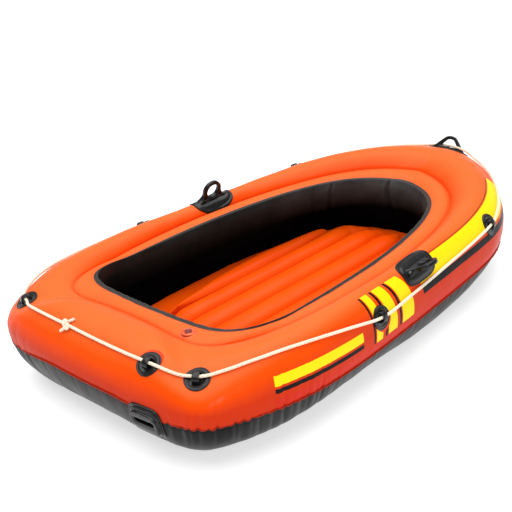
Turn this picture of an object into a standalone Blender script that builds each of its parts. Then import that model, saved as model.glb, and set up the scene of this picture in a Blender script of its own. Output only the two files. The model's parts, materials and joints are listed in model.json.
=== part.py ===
"""Inflatable one-person boat, at real size in metres.

+X is the bow, +Y is port, +Z is up, and z = 0 is the ground that the boat lies on.
The hull is a ring of two air chambers, an outer one and a slimmer inner one, inside
welded vinyl skins. An air floor of parallel tubes, held by upright webs, lies inside
the ring. Rubber fittings, a grab rope and three valves sit on the skins.
"""

import math

import bmesh
import bpy
import numpy as np
from mathutils import Matrix, Vector
from mathutils.bvhtree import BVHTree

# ---------------------------------------------------------------- driving dimensions
LENGTH = 1.60               # over the inflated hull
BEAM = 0.94                 # over the inflated hull
SKIN = 0.0012               # vinyl skin as modelled
GAP = 0.0004                # air between pieces that touch
CHAMBER_INSET = 0.0105      # chamber solid to skin
STATIONS = 64               # sections round the ring

# plan curves: control points of closed cubic B-splines, port half, bow to stern
OUTLINE = ((0.8137, 0.1265), (0.5075, 0.4001), (0.2828, 0.4036), (-0.4577, 0.5009), (-0.7093, 0.4161), (-0.8018, 0.3688))
CREASE = ((0.5887, 0.0164), (0.4844, 0.2481), (0.0456, 0.3596), (-0.3635, 0.3543), (-0.6415, 0.2994), (-0.6118, 0.1196))
RIM = ((0.5155, 0.0225), (0.4338, 0.2062), (0.0486, 0.3033), (-0.3211, 0.3086), (-0.5481, 0.3055), (-0.5657, 0.1253))
FOOT = ((0.5150, 0.0400), (0.4700, 0.2560), (0.0600, 0.3420), (-0.3300, 0.3180), (-0.5520, 0.3060), (-0.5680, 0.1260))

EQUATOR_Z = 0.158           # height of the widest line
CROWN_Z = 0.258             # top of the outer chamber on the sides
CREASE_Z = 0.2263           # weld line between the two chambers
RIM_Z = 0.2296              # cockpit rim
LOWER_RUN = 0.145           # width of the lower quarter section
BOW_LIFT = 0.0287           # how far the bottom lifts at the bow
WALL_BULGE = 0.027          # how far the cockpit wall bows inwards
WALL_SHOULDER = 0.55        # under 1 it bows most just below the rim
WALL_FOOT_Z = 0.010
DIVIDER_SPREAD = 0.012      # the divider's foot stands this far outside the crease
LOWER_STEPS = (0.0, 0.2, 0.42, 0.65, 1.0)

BOTTOM = 0.0014             # bottom sheet thickness
FLOOR_FLANGE_Z = 0.046
FLOOR_CREST_Z = 0.074
FLOOR_VALLEY_Z = 0.050
FLOOR_SKIN = 0.0012
WEB = 0.0010
FLOOR_VALLEYS = (-0.2, -0.1275, -0.0425, 0.0425, 0.1275, 0.2)
FLOOR_TUBE_AFT = -0.475

ROPE_R = 0.004
CLIP_R = 0.0325
CLIP_PLATE = 0.0025

# fittings: ring position (0 bow, 0.25 port, 0.5 stern, 0.75 starboard), section angle
CLIPS = {
    "rope_clip_stern_port": (0.4110, 51.3),
    "rope_clip_transom": (0.5403, 52.9),
    "rope_clip_stern_starboard": (0.5890, 51.3),
    "rope_clip_mid_starboard": (0.7370, 20.5),
    "rope_clip_bow_starboard": (0.8425, 32.4),
    "rope_clip_bow_port": (0.1555, 44.0),
    "rope_clip_mid_port": (0.2655, 45.0),
}
# where the taut rope lies on the skin between the stern and mid clips
TAUT_STARBOARD = ((0.6190, 56.5), (0.6470, 59.2), (0.6740, 57.5), (0.6880, 54.5), (0.7010, 49.0), (0.7130, 41.5), (0.7240, 33.0))
TAUT_PORT = ((0.3100, 48.0), (0.3600, 50.5))
KNOT = (0.4833, 55.3)
BOW_HANDLE = (0.0, 57.0)
STERN_HANDLE = (0.5372, -19.5)
OARLOCK_PORT = (0.028, 92.0, 14.0)        # x of the pad's centre, section angle, the loop's lean to starboard
OARLOCK_STARBOARD = (0.024, 58.0, 17.0)


# ---------------------------------------------------------------- scene and materials
for old in list(bpy.data.objects):
    bpy.data.objects.remove(old, do_unlink=True)


def collection(name, helper=False):
    group = bpy.data.collections.new(name)
    bpy.context.scene.collection.children.link(group)
    group.hide_render = helper
    return group


BOAT = collection("inflatable_boat")
CUTTERS = collection("cutters", helper=True)


def material(name, colour, roughness, metallic=0.0):
    mat = bpy.data.materials.new(name)
    mat.use_nodes = True
    shader = mat.node_tree.nodes["Principled BSDF"]
    shader.inputs["Base Color"].default_value = (*colour, 1.0)
    shader.inputs["Roughness"].default_value = roughness
    shader.inputs["Metallic"].default_value = metallic
    mat.diffuse_color = (*colour, 1.0)
    return mat


def shade(obj, mat, smooth=True):
    obj.data.materials.append(mat)
    if smooth and obj.type == "MESH":
        obj.data.shade_smooth()
        obj.data.set_sharp_from_angle(angle=math.radians(40))


ORANGE = (0.95, 0.11, 0.006)
BLACK = (0.012, 0.012, 0.013)


# ---------------------------------------------------------------- hull shape
def spline(half, u):
    """Point at ring position u of the closed uniform cubic B-spline through the mirrored control points."""
    pts = [np.array(p, float) for p in half]
    ring = pts + [p * (1, -1) for p in reversed(pts)]
    n = len(ring)
    s = (n - 0.5 + n * u) % n
    i = int(math.floor(s))
    t = s - i
    a, b, c, d = ring[(i - 1) % n], ring[i % n], ring[(i + 1) % n], ring[(i + 2) % n]
    return ((1 - t) ** 3 * a + (3 * t**3 - 6 * t**2 + 4) * b + (-3 * t**3 + 3 * t**2 + 3 * t + 1) * c + t**3 * d) / 6


def ease(x, low, high):
    t = min(max((x - low) / (high - low), 0.0), 1.0)
    return t * t * (3 - 2 * t)


def lift(x):
    """How far the bottom rises at x, towards the bow."""
    return BOW_LIFT * min(max((x / LENGTH - 0.05) / 0.45, 0.0), 1.0) ** 2


class Section:
    """The hull's section at one ring position: plan points and heights."""

    def __init__(self, u):
        self.outer, self.crease, self.rim, self.foot = (spline(c, u) for c in (OUTLINE, CREASE, RIM, FOOT))
        x, y = self.outer
        rise = lift(x) / BOW_LIFT
        bow, stern = ease(x, 0.35, 0.75), ease(-x, 0.45, 0.72)
        corner = math.exp(-(((abs(y) - 0.38) / 0.07) ** 2)) * ease(-x, 0.5, 0.68)
        waist = math.exp(-(((x - 0.03) / 0.22) ** 2))
        self.low = 0.0022 + lift(x)
        self.zb = EQUATOR_Z + 0.0096 * rise + 0.003 * stern
        self.crown = CROWN_Z + 0.0228 * bow + 0.006 * stern - 0.0204 * corner - 0.005 * waist
        self.zc = CREASE_Z + 0.0135 * bow + 0.0156 * stern
        self.zr = RIM_Z + 0.0156 * stern
        across = self.crease - self.outer
        self.dc = float(np.linalg.norm(across))
        self.inward = across / self.dc
        self.h = self.crown - self.zb
        self.last = math.pi - math.asin((self.zc - self.zb) / self.h)
        self.a = self.dc / (1 - math.cos(self.last))
        over = self.rim - self.crease
        self.over = over / np.linalg.norm(over)
        side = abs(y)
        drop = max(ease(side, 0.1, 0.33), ease(x, -0.3, 0.0))
        self.seam = -math.radians(5 + 8 * drop + 9 * ease(x, -0.75, -0.15))

    def profile(self, angle, inset=0.0):
        """(distance in from the outline, height) at a section angle in radians, moved inside by inset."""
        if angle >= 0:
            run, rise_ = self.a, self.h
        else:
            run, rise_ = LOWER_RUN, self.zb - self.low
        d = run * (1 - math.cos(angle))
        z = self.zb + rise_ * math.sin(angle)
        nd, nz = -rise_ * math.cos(angle), run * math.sin(angle)
        size = math.hypot(nd, nz)
        return d - inset * nd / size, z - inset * nz / size

    def outer_point(self, angle, inset=0.0):
        d, z = self.profile(angle, inset)
        p = self.outer + self.inward * d
        return Vector((p[0], p[1], z))

    def deck_point(self, t):
        """On the inner deck band, t from 0 at the crease to 1 at the rim."""
        p = self.crease + (self.rim - self.crease) * t
        return Vector((p[0], p[1], self.zc + (self.zr - self.zc) * t + 0.007 * math.sin(math.pi * t)))

    def wall_point(self, t, inset=0.0):
        """On the cockpit wall, t from 0 at the rim to 1 at the foot."""
        low = WALL_FOOT_Z + lift(self.foot[0]) * 0.5
        p = self.rim + (self.foot - self.rim) * t + self.over * (WALL_BULGE * math.sin(math.pi * t**WALL_SHOULDER) - inset)
        return Vector((p[0], p[1], self.zr + (low - self.zr) * t))


def surface(u, degrees):
    return Section(u % 1.0).outer_point(math.radians(degrees))


def surface_frame(u, degrees):
    """Origin on the hull, unit vectors forwards round the ring, up the section, and out."""
    p = surface(u, degrees)
    along = (surface(u + 0.001, degrees) - surface(u - 0.001, degrees)).normalized()
    up = (surface(u, degrees + 0.5) - surface(u, degrees - 0.5)).normalized()
    out = along.cross(up).normalized()
    if out.dot(p - Vector((p.x * 0.8, p.y * 0.8, 0.1))) < 0:
        out = -out
    up = (up - along * up.dot(along)).normalized()
    return p, along, up, out


def ring_position(x, degrees, port):
    """Ring position on one side of the boat where the section angle lies at x."""
    low, high = (0.06, 0.44) if port else (0.94, 0.56)
    for _ in range(40):
        mid = (low + high) / 2
        if surface(mid, degrees).x > x:
            low = mid
        else:
            high = mid
    return low


RING = [Section(i / STATIONS) for i in range(STATIONS)]


# ---------------------------------------------------------------- builders
def mesh_object(name, verts, faces, group=BOAT):
    mesh = bpy.data.meshes.new(name)
    mesh.from_pydata([tuple(v) for v in verts], [], faces)
    mesh.validate()
    obj = bpy.data.objects.new(name, mesh)
    group.objects.link(obj)
    return obj


def ring_grid(rows_of):
    """Open strip round the ring: rows_of(section) gives each station's points, in one order."""
    rows = [rows_of(s) for s in RING]
    m = len(rows[0])
    verts = [p for row in rows for p in row]
    faces = []
    for i in range(STATIONS):
        j = (i + 1) % STATIONS
        for k in range(m - 1):
            a, b, c, d = i * m + k, i * m + k + 1, j * m + k + 1, j * m + k
            faces += [(a, b, c), (a, c, d)]
    return verts, faces


def solidify(obj, thickness, offset=-1.0):
    mod = obj.modifiers.new("thickness", "SOLIDIFY")
    mod.thickness = thickness
    mod.offset = offset
    mod.use_even_offset = False
    mod.use_rim = True
    obj.modifiers.new("triangles", "TRIANGULATE")
    return mod


def boolean(obj, other, operation):
    mod = obj.modifiers.new(operation.lower(), "BOOLEAN")
    mod.operation = operation
    mod.object = other
    mod.solver = "EXACT"
    other.hide_render = True
    other.display_type = "WIRE"
    return mod


def facing(obj, outward):
    """Turns the whole open mesh so that its first face points along outward(centre)."""
    mesh = obj.data
    face = mesh.polygons[0]
    if Vector(face.normal).dot(outward(Vector(face.center))) < 0:
        mesh.flip_normals()
    return obj


def closed_ring(name, rows_of):
    """Closed solid ring lofted through each station's closed polygon."""
    rows = [rows_of(s) for s in RING]
    m = len(rows[0])
    verts = [p for row in rows for p in row]
    faces = []
    for i in range(STATIONS):
        j = (i + 1) % STATIONS
        for k in range(m):
            l = (k + 1) % m
            faces.append((i * m + k, i * m + l, j * m + l, j * m + k))
    obj = mesh_object(name, verts, faces)
    tidy = bmesh.new()
    tidy.from_mesh(obj.data)
    bmesh.ops.recalc_face_normals(tidy, faces=tidy.faces)
    if tidy.calc_volume(signed=True) < 0:
        bmesh.ops.reverse_faces(tidy, faces=tidy.faces)
    tidy.to_mesh(obj.data)
    tidy.free()
    return obj


def extruded(name, outline, depth, frame, group=CUTTERS, taper=None):
    """Closed outline of (across, up) points, given a depth centred on its plane, placed by frame.

    frame is (origin, across, up, through). taper(up) scales the depth there.
    """
    origin, across, up, through = frame
    bm = bmesh.new()
    sides = []
    for sign in (-1, 1):
        row = []
        for a, b in outline:
            half = 0.5 * depth * (taper(b) if taper else 1.0)
            row.append(bm.verts.new(origin + across * a + up * b + through * (sign * half)))
        sides.append(row)
    n = len(outline)
    bm.faces.new(sides[0])
    bm.faces.new(list(reversed(sides[1])))
    for i in range(n):
        j = (i + 1) % n
        bm.faces.new((sides[0][i], sides[1][i], sides[1][j], sides[0][j]))
    bm.normal_update()
    bmesh.ops.triangulate(bm, faces=[f for f in bm.faces if len(f.verts) > 4])
    bmesh.ops.recalc_face_normals(bm, faces=bm.faces)
    if bm.calc_volume(signed=True) < 0:
        bmesh.ops.reverse_faces(bm, faces=bm.faces)
    mesh = bpy.data.meshes.new(name)
    bm.to_mesh(mesh)
    bm.free()
    obj = bpy.data.objects.new(name, mesh)
    group.objects.link(obj)
    return obj


def holed_plate(name, outers, inner, depth_at, frame, group=CUTTERS):
    """Plate with one hole: outer loops of the back and front face and an inner loop, of equal count, depth by height."""
    origin, across, up, through = frame
    n = len(inner)
    bm = bmesh.new()
    loops = []
    for sign, outer in zip((-1, 1), outers):
        for loop in (outer, inner):
            loops.append([bm.verts.new(origin + across * a + up * b + through * (sign * 0.5 * depth_at(b))) for a, b in loop])
    back_o, back_i, front_o, front_i = loops
    for i in range(n):
        j = (i + 1) % n
        bm.faces.new((back_o[i], back_o[j], back_i[j], back_i[i]))
        bm.faces.new((front_o[j], front_o[i], front_i[i], front_i[j]))
        bm.faces.new((back_o[j], back_o[i], front_o[i], front_o[j]))
        bm.faces.new((back_i[i], back_i[j], front_i[j], front_i[i]))
    bmesh.ops.recalc_face_normals(bm, faces=bm.faces)
    if bm.calc_volume(signed=True) < 0:
        bmesh.ops.reverse_faces(bm, faces=bm.faces)
    mesh = bpy.data.meshes.new(name)
    bm.to_mesh(mesh)
    bm.free()
    obj = bpy.data.objects.new(name, mesh)
    group.objects.link(obj)
    return obj


def cylinder(name, radius, depth, frame, segments=24, group=BOAT, radius2=None):
    """Solid cylinder from z=0 to z=depth of frame = (origin, x, y, axis)."""
    origin, ex, ey, ez = frame
    bm = bmesh.new()
    bmesh.ops.create_cone(bm, cap_ends=True, segments=segments, radius1=radius, radius2=radius if radius2 is None else radius2, depth=depth)
    place = Matrix((ex, ey, ez)).transposed().to_4x4()
    place.translation = origin + ez * (depth / 2)
    bmesh.ops.transform(bm, matrix=place, verts=bm.verts)
    mesh = bpy.data.meshes.new(name)
    bm.to_mesh(mesh)
    bm.free()
    obj = bpy.data.objects.new(name, mesh)
    group.objects.link(obj)
    return obj


def turned(name, profile, frame, segments=24, group=BOAT):
    """Closed (radius, height) profile turned about frame's axis; the profile keeps off the axis."""
    origin, ex, ey, ez = frame
    bm = bmesh.new()
    rings = []
    for k in range(segments):
        t = 2 * math.pi * k / segments
        spoke = ex * math.cos(t) + ey * math.sin(t)
        rings.append([bm.verts.new(origin + spoke * r + ez * h) for r, h in profile])
    m = len(profile)
    for k in range(segments):
        l = (k + 1) % segments
        for i in range(m):
            j = (i + 1) % m
            bm.faces.new((rings[k][i], rings[l][i], rings[l][j], rings[k][j]))
    bmesh.ops.recalc_face_normals(bm, faces=bm.faces)
    if bm.calc_volume(signed=True) < 0:
        bmesh.ops.reverse_faces(bm, faces=bm.faces)
    mesh = bpy.data.meshes.new(name)
    bm.to_mesh(mesh)
    bm.free()
    obj = bpy.data.objects.new(name, mesh)
    group.objects.link(obj)
    return obj


# ---------------------------------------------------------------- hull skins
DECK_STEPS = (0.0, 0.14, 0.28, 0.42, 0.56, 0.70, 0.85, 1.0)


def deck_row(s):
    row = [s.outer_point(s.seam + 0.010 + (s.last - s.seam - 0.010) * t) for t in DECK_STEPS]
    return row + [s.deck_point(t) for t in (0.35, 0.7, 1.0)]


def lower_angles(s):
    start, end = s.seam - 0.010, -math.radians(84)
    return [start + (end - start) * t for t in LOWER_STEPS]


def lower_row(s):
    return [s.outer_point(angle) for angle in lower_angles(s)]


def lower_height(s, d):
    """Height of the faceted lower skin at distance d in from the outline."""
    points = [s.profile(angle) for angle in lower_angles(s)]
    for (d0, z0), (d1, z1) in zip(points, points[1:]):
        if d <= d1:
            return z0 + (z1 - z0) * (d - d0) / (d1 - d0)
    return points[-1][1]


def wall_row(s):
    row = [s.wall_point(t) for t in (0.0, 0.07, 0.22, 0.52, 1.0)]
    row[0] = s.deck_point(1.0) + Vector((*(s.over * 0.0008), -0.0022))
    return row


def away_from_ring(s_z):
    return lambda c: Vector((c.x, c.y, 0)) + Vector((0, 0, s_z))


deck_skin = facing(mesh_object("deck_skin", *ring_grid(deck_row)), lambda c: Vector((c.x, c.y, 0)))
lower_skin = facing(mesh_object("lower_hull_skin", *ring_grid(lower_row)), lambda c: Vector((c.x, c.y, 0)))
wall_skin = facing(mesh_object("cockpit_wall_skin", *ring_grid(wall_row)), lambda c: Vector((-c.x, -c.y, 0)))

def hull_faces():
    """The deck and the lower skin as one surface, with the seam between them closed."""
    deck, lower = deck_skin.data, lower_skin.data
    shift = len(deck.vertices)
    verts = [v.co.copy() for v in deck.vertices] + [v.co.copy() for v in lower.vertices]
    faces = [tuple(p.vertices) for p in deck.polygons] + [tuple(i + shift for i in p.vertices) for p in lower.polygons]
    m, n = len(deck.vertices) // STATIONS, len(lower.vertices) // STATIONS
    for i in range(STATIONS):
        j = (i + 1) % STATIONS
        faces += [(i * m, j * m, shift + j * n), (i * m, shift + j * n, shift + i * n)]
    return verts, faces


HULL_VERTS, HULL_FACES = hull_faces()
HULL_TREE = BVHTree.FromPolygons(HULL_VERTS, HULL_FACES)

for skin in (deck_skin, lower_skin, wall_skin):
    solidify(skin, SKIN)
shade(deck_skin, material("orange_vinyl", ORANGE, 0.32))
shade(lower_skin, material("lower_black_vinyl", (0.025, 0.025, 0.026), 0.42))
shade(wall_skin, material("wall_black_vinyl", BLACK, 0.35))


# ---------------------------------------------------------------- air chambers and divider
def outer_chamber_row(s):
    g = CHAMBER_INSET
    limit = s.dc - g
    foot = limit - DIVIDER_SPREAD
    low_end = -math.acos(max(1 - (min(foot, 0.128) - g) / LOWER_RUN, 0.08))
    row = []
    for share in (1.0, 0.74, 0.46, 0.16):
        d, z = s.profile(low_end * share, g)
        row.append((d, z + (0.003 if share > 0.9 else 0.0)))
    for angle in (15, 42, 68, 92):
        d, z = s.profile(math.radians(angle), g)
        row.append((min(d, limit - 0.001), z))
    d, z = s.profile(s.last - math.radians(20), g)
    row.append((min(d, limit), z))
    row.append((limit, s.zc - 0.022))
    row.append((foot, row[0][1] + 0.002))
    return [Vector((*(s.outer + s.inward * d), z)) for d, z in row]


def inner_chamber_row(s):
    g = CHAMBER_INSET
    a = s.crease + s.over * g
    b = s.rim - s.over * g
    row = [Vector((a[0], a[1], s.zc - g - 0.004)), Vector((b[0], b[1], s.zr - g))]
    row += [s.wall_point(t, g) for t in (0.12, 0.42, 0.76)]
    f = s.foot - s.over * g
    row.append(Vector((f[0], f[1], s.low + g)))
    e = s.crease - s.inward * (DIVIDER_SPREAD - g)
    row.append(Vector((e[0], e[1], max(s.low, lower_height(s, s.dc)) + g + 0.002)))
    return row


def divider_row(s):
    top, foot = s.crease, s.crease - s.inward * DIVIDER_SPREAD
    high, low = s.zc - 0.006, lower_height(s, s.dc - DIVIDER_SPREAD) + SKIN + 0.0025
    row = []
    for t in (0.0, 0.5, 1.0):
        p = top + (foot - top) * t
        row.append(Vector((p[0], p[1], high + (low - high) * t)))
    return row


outer_chamber = closed_ring("outer_air_chamber", outer_chamber_row)
inner_chamber = closed_ring("inner_air_chamber", inner_chamber_row)
chamber_mat = material("chamber_film", (0.75, 0.75, 0.72), 0.4)
shade(outer_chamber, chamber_mat)
shade(inner_chamber, chamber_mat)
divider = facing(mesh_object("chamber_divider", *ring_grid(divider_row)), lambda c: Vector((c.x, c.y, 0)))
solidify(divider, 0.0008, 0.0)
shade(divider, material("divider_film", (0.55, 0.55, 0.53), 0.5))


# ---------------------------------------------------------------- seam weld flange
def seam_row(s):
    inner = s.outer_point(s.seam, -GAP - 0.0006)
    tip = s.outer_point(s.seam, -0.0055)
    half = 0.0010
    return [inner + Vector((0, 0, -half)), tip + Vector((0, 0, -half * 0.7)), tip + Vector((0, 0, half * 0.7)), inner + Vector((0, 0, half))]


seam_flange = closed_ring("seam_weld_flange", seam_row)
shade(seam_flange, material("weld_flange_vinyl", (0.09, 0.01, 0.006), 0.4))


# ---------------------------------------------------------------- bottom sheet
def wall_line(z):
    """Plan points of the faceted cockpit wall at height z, port half, bow to stern."""
    line = []
    for s in RING[: STATIONS // 2 + 1]:
        row = wall_row(s)
        for p, q in zip(row, row[1:]):
            if q.z <= z:
                t = (z - p.z) / (q.z - p.z)
                line.append(((p + (q - p) * t).x, (p + (q - p) * t).y))
                break
    return line


def half_width(line, x):
    """Half-width at x of a plan line."""
    best = 0.0
    for p, q in zip(line, line[1:]):
        if (p[0] - x) * (q[0] - x) <= 0 and abs(p[0] - q[0]) > 1e-9:
            t = (x - p[0]) / (q[0] - p[0])
            best = max(best, p[1] + (q[1] - p[1]) * t)
    return best


BOTTOM_INSET = 0.118


def bottom_edge(u):
    s = Section(u)
    return s.outer + s.inward * BOTTOM_INSET


def bottom_sheet():
    """The sheet under the ring and the floor: rows across the boat that follow the bow's lift."""
    n = 12
    stations = [i / (2 * n) for i in range(1, n)]
    edge = [bottom_edge(u) for u in stations]
    ends = (bottom_edge(0.0), bottom_edge(0.5))
    port = [ends[0]] + edge + [ends[1]]
    verts_out, faces = [], []
    rows = len(port)
    index = {}
    for i, (x, y) in enumerate(port):
        ends_row = i in (0, rows - 1)
        for side in ((0,) if ends_row else (-1, 0, 1)):
            index[(i, side)] = len(verts_out)
            verts_out.append(Vector((x, side * y, lift(x))))
    for i in range(rows - 1):
        for side in (-1, 1):
            a, b = index[(i, 0)], index[(i + 1, 0)]
            c = index.get((i + 1, side))
            d = index.get((i, side))
            face = [v for v in (a, b, c, d) if v is not None]
            faces.append(tuple(face if side == 1 else reversed(face)))
    return verts_out, faces


sheet = mesh_object("bottom_sheet", *bottom_sheet())
orient = bmesh.new()
orient.from_mesh(sheet.data)
bmesh.ops.recalc_face_normals(orient, faces=orient.faces)
if sum(f.normal.z for f in orient.faces) < 0:
    bmesh.ops.reverse_faces(orient, faces=orient.faces)
orient.to_mesh(sheet.data)
orient.free()
solidify(sheet, BOTTOM, 1.0)
shade(sheet, material("bottom_vinyl", (0.03, 0.03, 0.032), 0.5), smooth=False)


# ---------------------------------------------------------------- air floor
WALL_AT_FLOOR = wall_line(FLOOR_FLANGE_Z + 0.004)


def floor_half(x):
    """Half-width of the floor's flange at x, clear of the bowed wall."""
    return max(half_width(WALL_AT_FLOOR, x + (0.0045 if x > 0.4 else 0.0)) - 0.0030, 0.0)


def tube_edge(x):
    """Outer edge of the outermost floor tubes."""
    half = floor_half(x)
    return min(0.272 - 0.5 * (x - 0.05) ** 2, max(half - 0.012, 0.8 * half))


def floor_columns(x):
    """Lateral places of the grid lines at x, with each one's share of the tube's rise."""
    lines = []
    hw = floor_half(x)
    edge = tube_edge(x)
    inner = list(FLOOR_VALLEYS[3:])
    squeeze = min(1.0, 0.95 * edge / inner[-1])
    knots = [0.0] + [v * squeeze for v in inner] + [edge]
    lines.append((0.0, 1.0))
    for a, b, first in zip(knots, knots[1:], (True, False, False, False)):
        if first:
            steps = (0.62, 1.0)
        else:
            steps = (0.2, 0.5, 0.8, 1.0)
        for t in steps:
            share = math.sqrt(max(1 - t * t, 0)) if first else math.sqrt(max(1 - (2 * t - 1) ** 2, 0))
            lines.append((a + (b - a) * t, share))
    lines.append((hw, -1.0))
    return lines


def height_at(line, a):
    """Second coordinate of a line at first coordinate a."""
    for p, q in zip(line, line[1:]):
        if (p[0] - a) * (q[0] - a) <= 0 and abs(p[0] - q[0]) > 1e-9:
            return p[1] + (q[1] - p[1]) * (a - p[0]) / (q[0] - p[0])
    return line[-1][1]


def floor_grid():
    fore = WALL_AT_FLOOR[0][0] - 0.0070
    xs = [-0.500, -0.480, -0.460, -0.43, -0.30, -0.15, 0.0, 0.15, 0.28, 0.36, 0.400, 0.430, 0.458, 0.478, fore]
    corner = next(i for i, (x, _) in enumerate(WALL_AT_FLOOR) if x < -0.535)
    transom = [(y, x) for x, y in WALL_AT_FLOOR[corner:]]
    reach = transom[0][0] - 0.004
    first = []
    for y, _ in floor_columns(-0.500):
        y *= reach / floor_half(-0.500)
        first.append((height_at(transom, y) + 0.0040, y))
    rows = [[(x, -y) for x, y in reversed(first[1:])] + first]
    rows = [[(x, y, FLOOR_FLANGE_Z) for x, y in rows[0]]]
    for x in xs:
        fade = min(ease(x, -0.487, -0.45), ease(-x, -0.458, -0.408))
        row = []
        for y, share in floor_columns(x):
            if share < 0:
                z = FLOOR_FLANGE_Z
            else:
                base = FLOOR_FLANGE_Z + (FLOOR_VALLEY_Z - FLOOR_FLANGE_Z) * fade
                z = base + (FLOOR_CREST_Z - FLOOR_VALLEY_Z) * share * fade
            row.append((x, y, z + lift(x) * 0.6))
        rows.append([(x_, -y_, z_) for x_, y_, z_ in reversed(row[1:])] + row)
    m = len(rows[0])
    verts = [Vector(p) for row in rows for p in row]
    faces = [
        (i * m + k, (i + 1) * m + k, (i + 1) * m + k + 1, i * m + k + 1)
        for i in range(len(rows) - 1)
        for k in range(m - 1)
    ]
    return verts, faces


floor_skin = facing(mesh_object("floor_top_skin", *floor_grid()), lambda c: Vector((0, 0, 1)))
solidify(floor_skin, FLOOR_SKIN)
shade(floor_skin, material("floor_orange_vinyl", (0.93, 0.09, 0.004), 0.38))

web_mat = material("floor_web_film", (0.6, 0.6, 0.58), 0.5)
WEB_NAMES = ("starboard_outer", "starboard_middle", "starboard_inner", "port_inner", "port_middle", "port_outer")
for y, word in zip(FLOOR_VALLEYS, WEB_NAMES):
    reach = 0.30 if abs(y) > 0.19 else (0.355 if abs(y) > 0.1 else 0.40)
    aft = -0.36 if abs(y) > 0.19 else -0.42
    low, high = BOTTOM + 0.0032, FLOOR_VALLEY_Z - FLOOR_SKIN - 0.0018
    outline = [(aft, low), (0.05, low), (0.25, lift(0.25) + low), (reach, lift(reach) + low), (reach, high), (aft, high)]
    web = extruded(
        "floor_web_" + word, outline, WEB, (Vector((0, y, 0)), Vector((1, 0, 0)), Vector((0, 0, 1)), Vector((0, 1, 0))), group=BOAT
    )
    shade(web, web_mat, smooth=False)


# ---------------------------------------------------------------- pads that follow the hull
def hull_hit(p, out):
    """Where a line along -out through p meets the faceted hull."""
    hit = HULL_TREE.ray_cast(p + out * 0.06, -out, 0.16)
    return hit[0]


def rounded(half_w, half_h, power=2.0, count=20, up=0.0):
    """Circle or rounded rectangle as (across, up) points."""
    loop = []
    for k in range(count):
        t = 2 * math.pi * (k + 0.5) / count
        c, s = math.cos(t), math.sin(t)
        q = (abs(c) ** power + abs(s) ** power) ** (-1 / power)
        loop.append((half_w * q * c, up + half_h * q * s))
    return loop


def pad(name, frame, size, thickness, power=2.0, segments=18, gap=GAP):
    """Plate of half-sizes size, a circle or rounded rectangle in plan, bent to the faceted hull."""
    origin, ex, ey, out = frame
    reach = max(size) + 0.09
    keep = [f for f in HULL_FACES if min((HULL_VERTS[i] - origin).length for i in f) < reach]
    used = sorted({i for f in keep for i in f})
    index = {v: k for k, v in enumerate(used)}
    obj = mesh_object(name, [HULL_VERTS[i] for i in used], [tuple(index[i] for i in f) for f in keep])
    tidy = bmesh.new()
    tidy.from_mesh(obj.data)
    bmesh.ops.recalc_face_normals(tidy, faces=tidy.faces)
    tidy.faces.ensure_lookup_table()
    nearest = min(tidy.faces, key=lambda f: (f.calc_center_median() - origin).length)
    if nearest.normal.dot(out) < 0:
        bmesh.ops.reverse_faces(tidy, faces=tidy.faces)
    tidy.normal_update()
    for v in tidy.verts:
        v.co = v.co + v.normal * gap
    tidy.to_mesh(obj.data)
    tidy.free()
    solidify(obj, thickness, 1.0)
    limit = extruded(name + "_outline", rounded(size[0], size[1], power, segments), 0.09, (origin, ex, ey, out))
    boolean(obj, limit, "INTERSECT")
    return obj


rubber = material("black_rubber", (0.016, 0.016, 0.017), 0.38)


# ---------------------------------------------------------------- rope route
def waypoint_table():
    order = [
        KNOT,
        CLIPS["rope_clip_transom"],
        CLIPS["rope_clip_stern_starboard"],
        CLIPS["rope_clip_mid_starboard"],
        CLIPS["rope_clip_bow_starboard"],
        (1.0, BOW_HANDLE[1]),
        (1 + CLIPS["rope_clip_bow_port"][0], CLIPS["rope_clip_bow_port"][1]),
        (1 + CLIPS["rope_clip_mid_port"][0], CLIPS["rope_clip_mid_port"][1]),
        (1 + CLIPS["rope_clip_stern_port"][0], CLIPS["rope_clip_stern_port"][1]),
        (1 + KNOT[0], KNOT[1]),
    ]
    return order


WAY = waypoint_table()
LINE = sorted(WAY + list(TAUT_STARBOARD) + [(1 + u, angle) for u, angle in TAUT_PORT])


def route_angle(u):
    for (a, fa), (b, fb) in zip(LINE, LINE[1:]):
        if u <= b + 1e-9:
            return fa + (fb - fa) * (u - a) / (b - a)
    return LINE[-1][1]


def smooth_angle(u, reach=0.006):
    lo, hi = WAY[0][0], WAY[-1][0]
    total = 0.0
    for k in range(-2, 3):
        total += route_angle(min(max(u + k * reach / 2, lo), hi))
    return total / 5


def rope_centre(u):
    """Rope centre at route position u: above the skin, lifted at clips and the bow handle."""
    angle = smooth_angle(u)
    p, along, up, out = surface_frame(u, angle)
    height = 0.0078
    for way_u, _ in WAY[1:-1]:
        near = abs(u - way_u)
        if way_u != 1.0:
            height = max(height, 0.0088 - 0.12 * max(near - 0.004, 0))
    y = p.y
    if abs(u - 1.0) < 0.07:
        # through the bow handle: from one side of its plate to the other, just above the pad
        origin, _, _, normal = surface_frame(*BOW_HANDLE)
        through = Vector((0, 1, 0)).cross(normal).normalized()
        share = 1 - ease(abs(y), 0.064, 0.115)
        height += 0.0066 * share
        here = (p - origin).dot(through)
        p = p + through * ((0.0096 * math.tanh(y / 0.0080) - here) * share)
    return p + out * height


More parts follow.
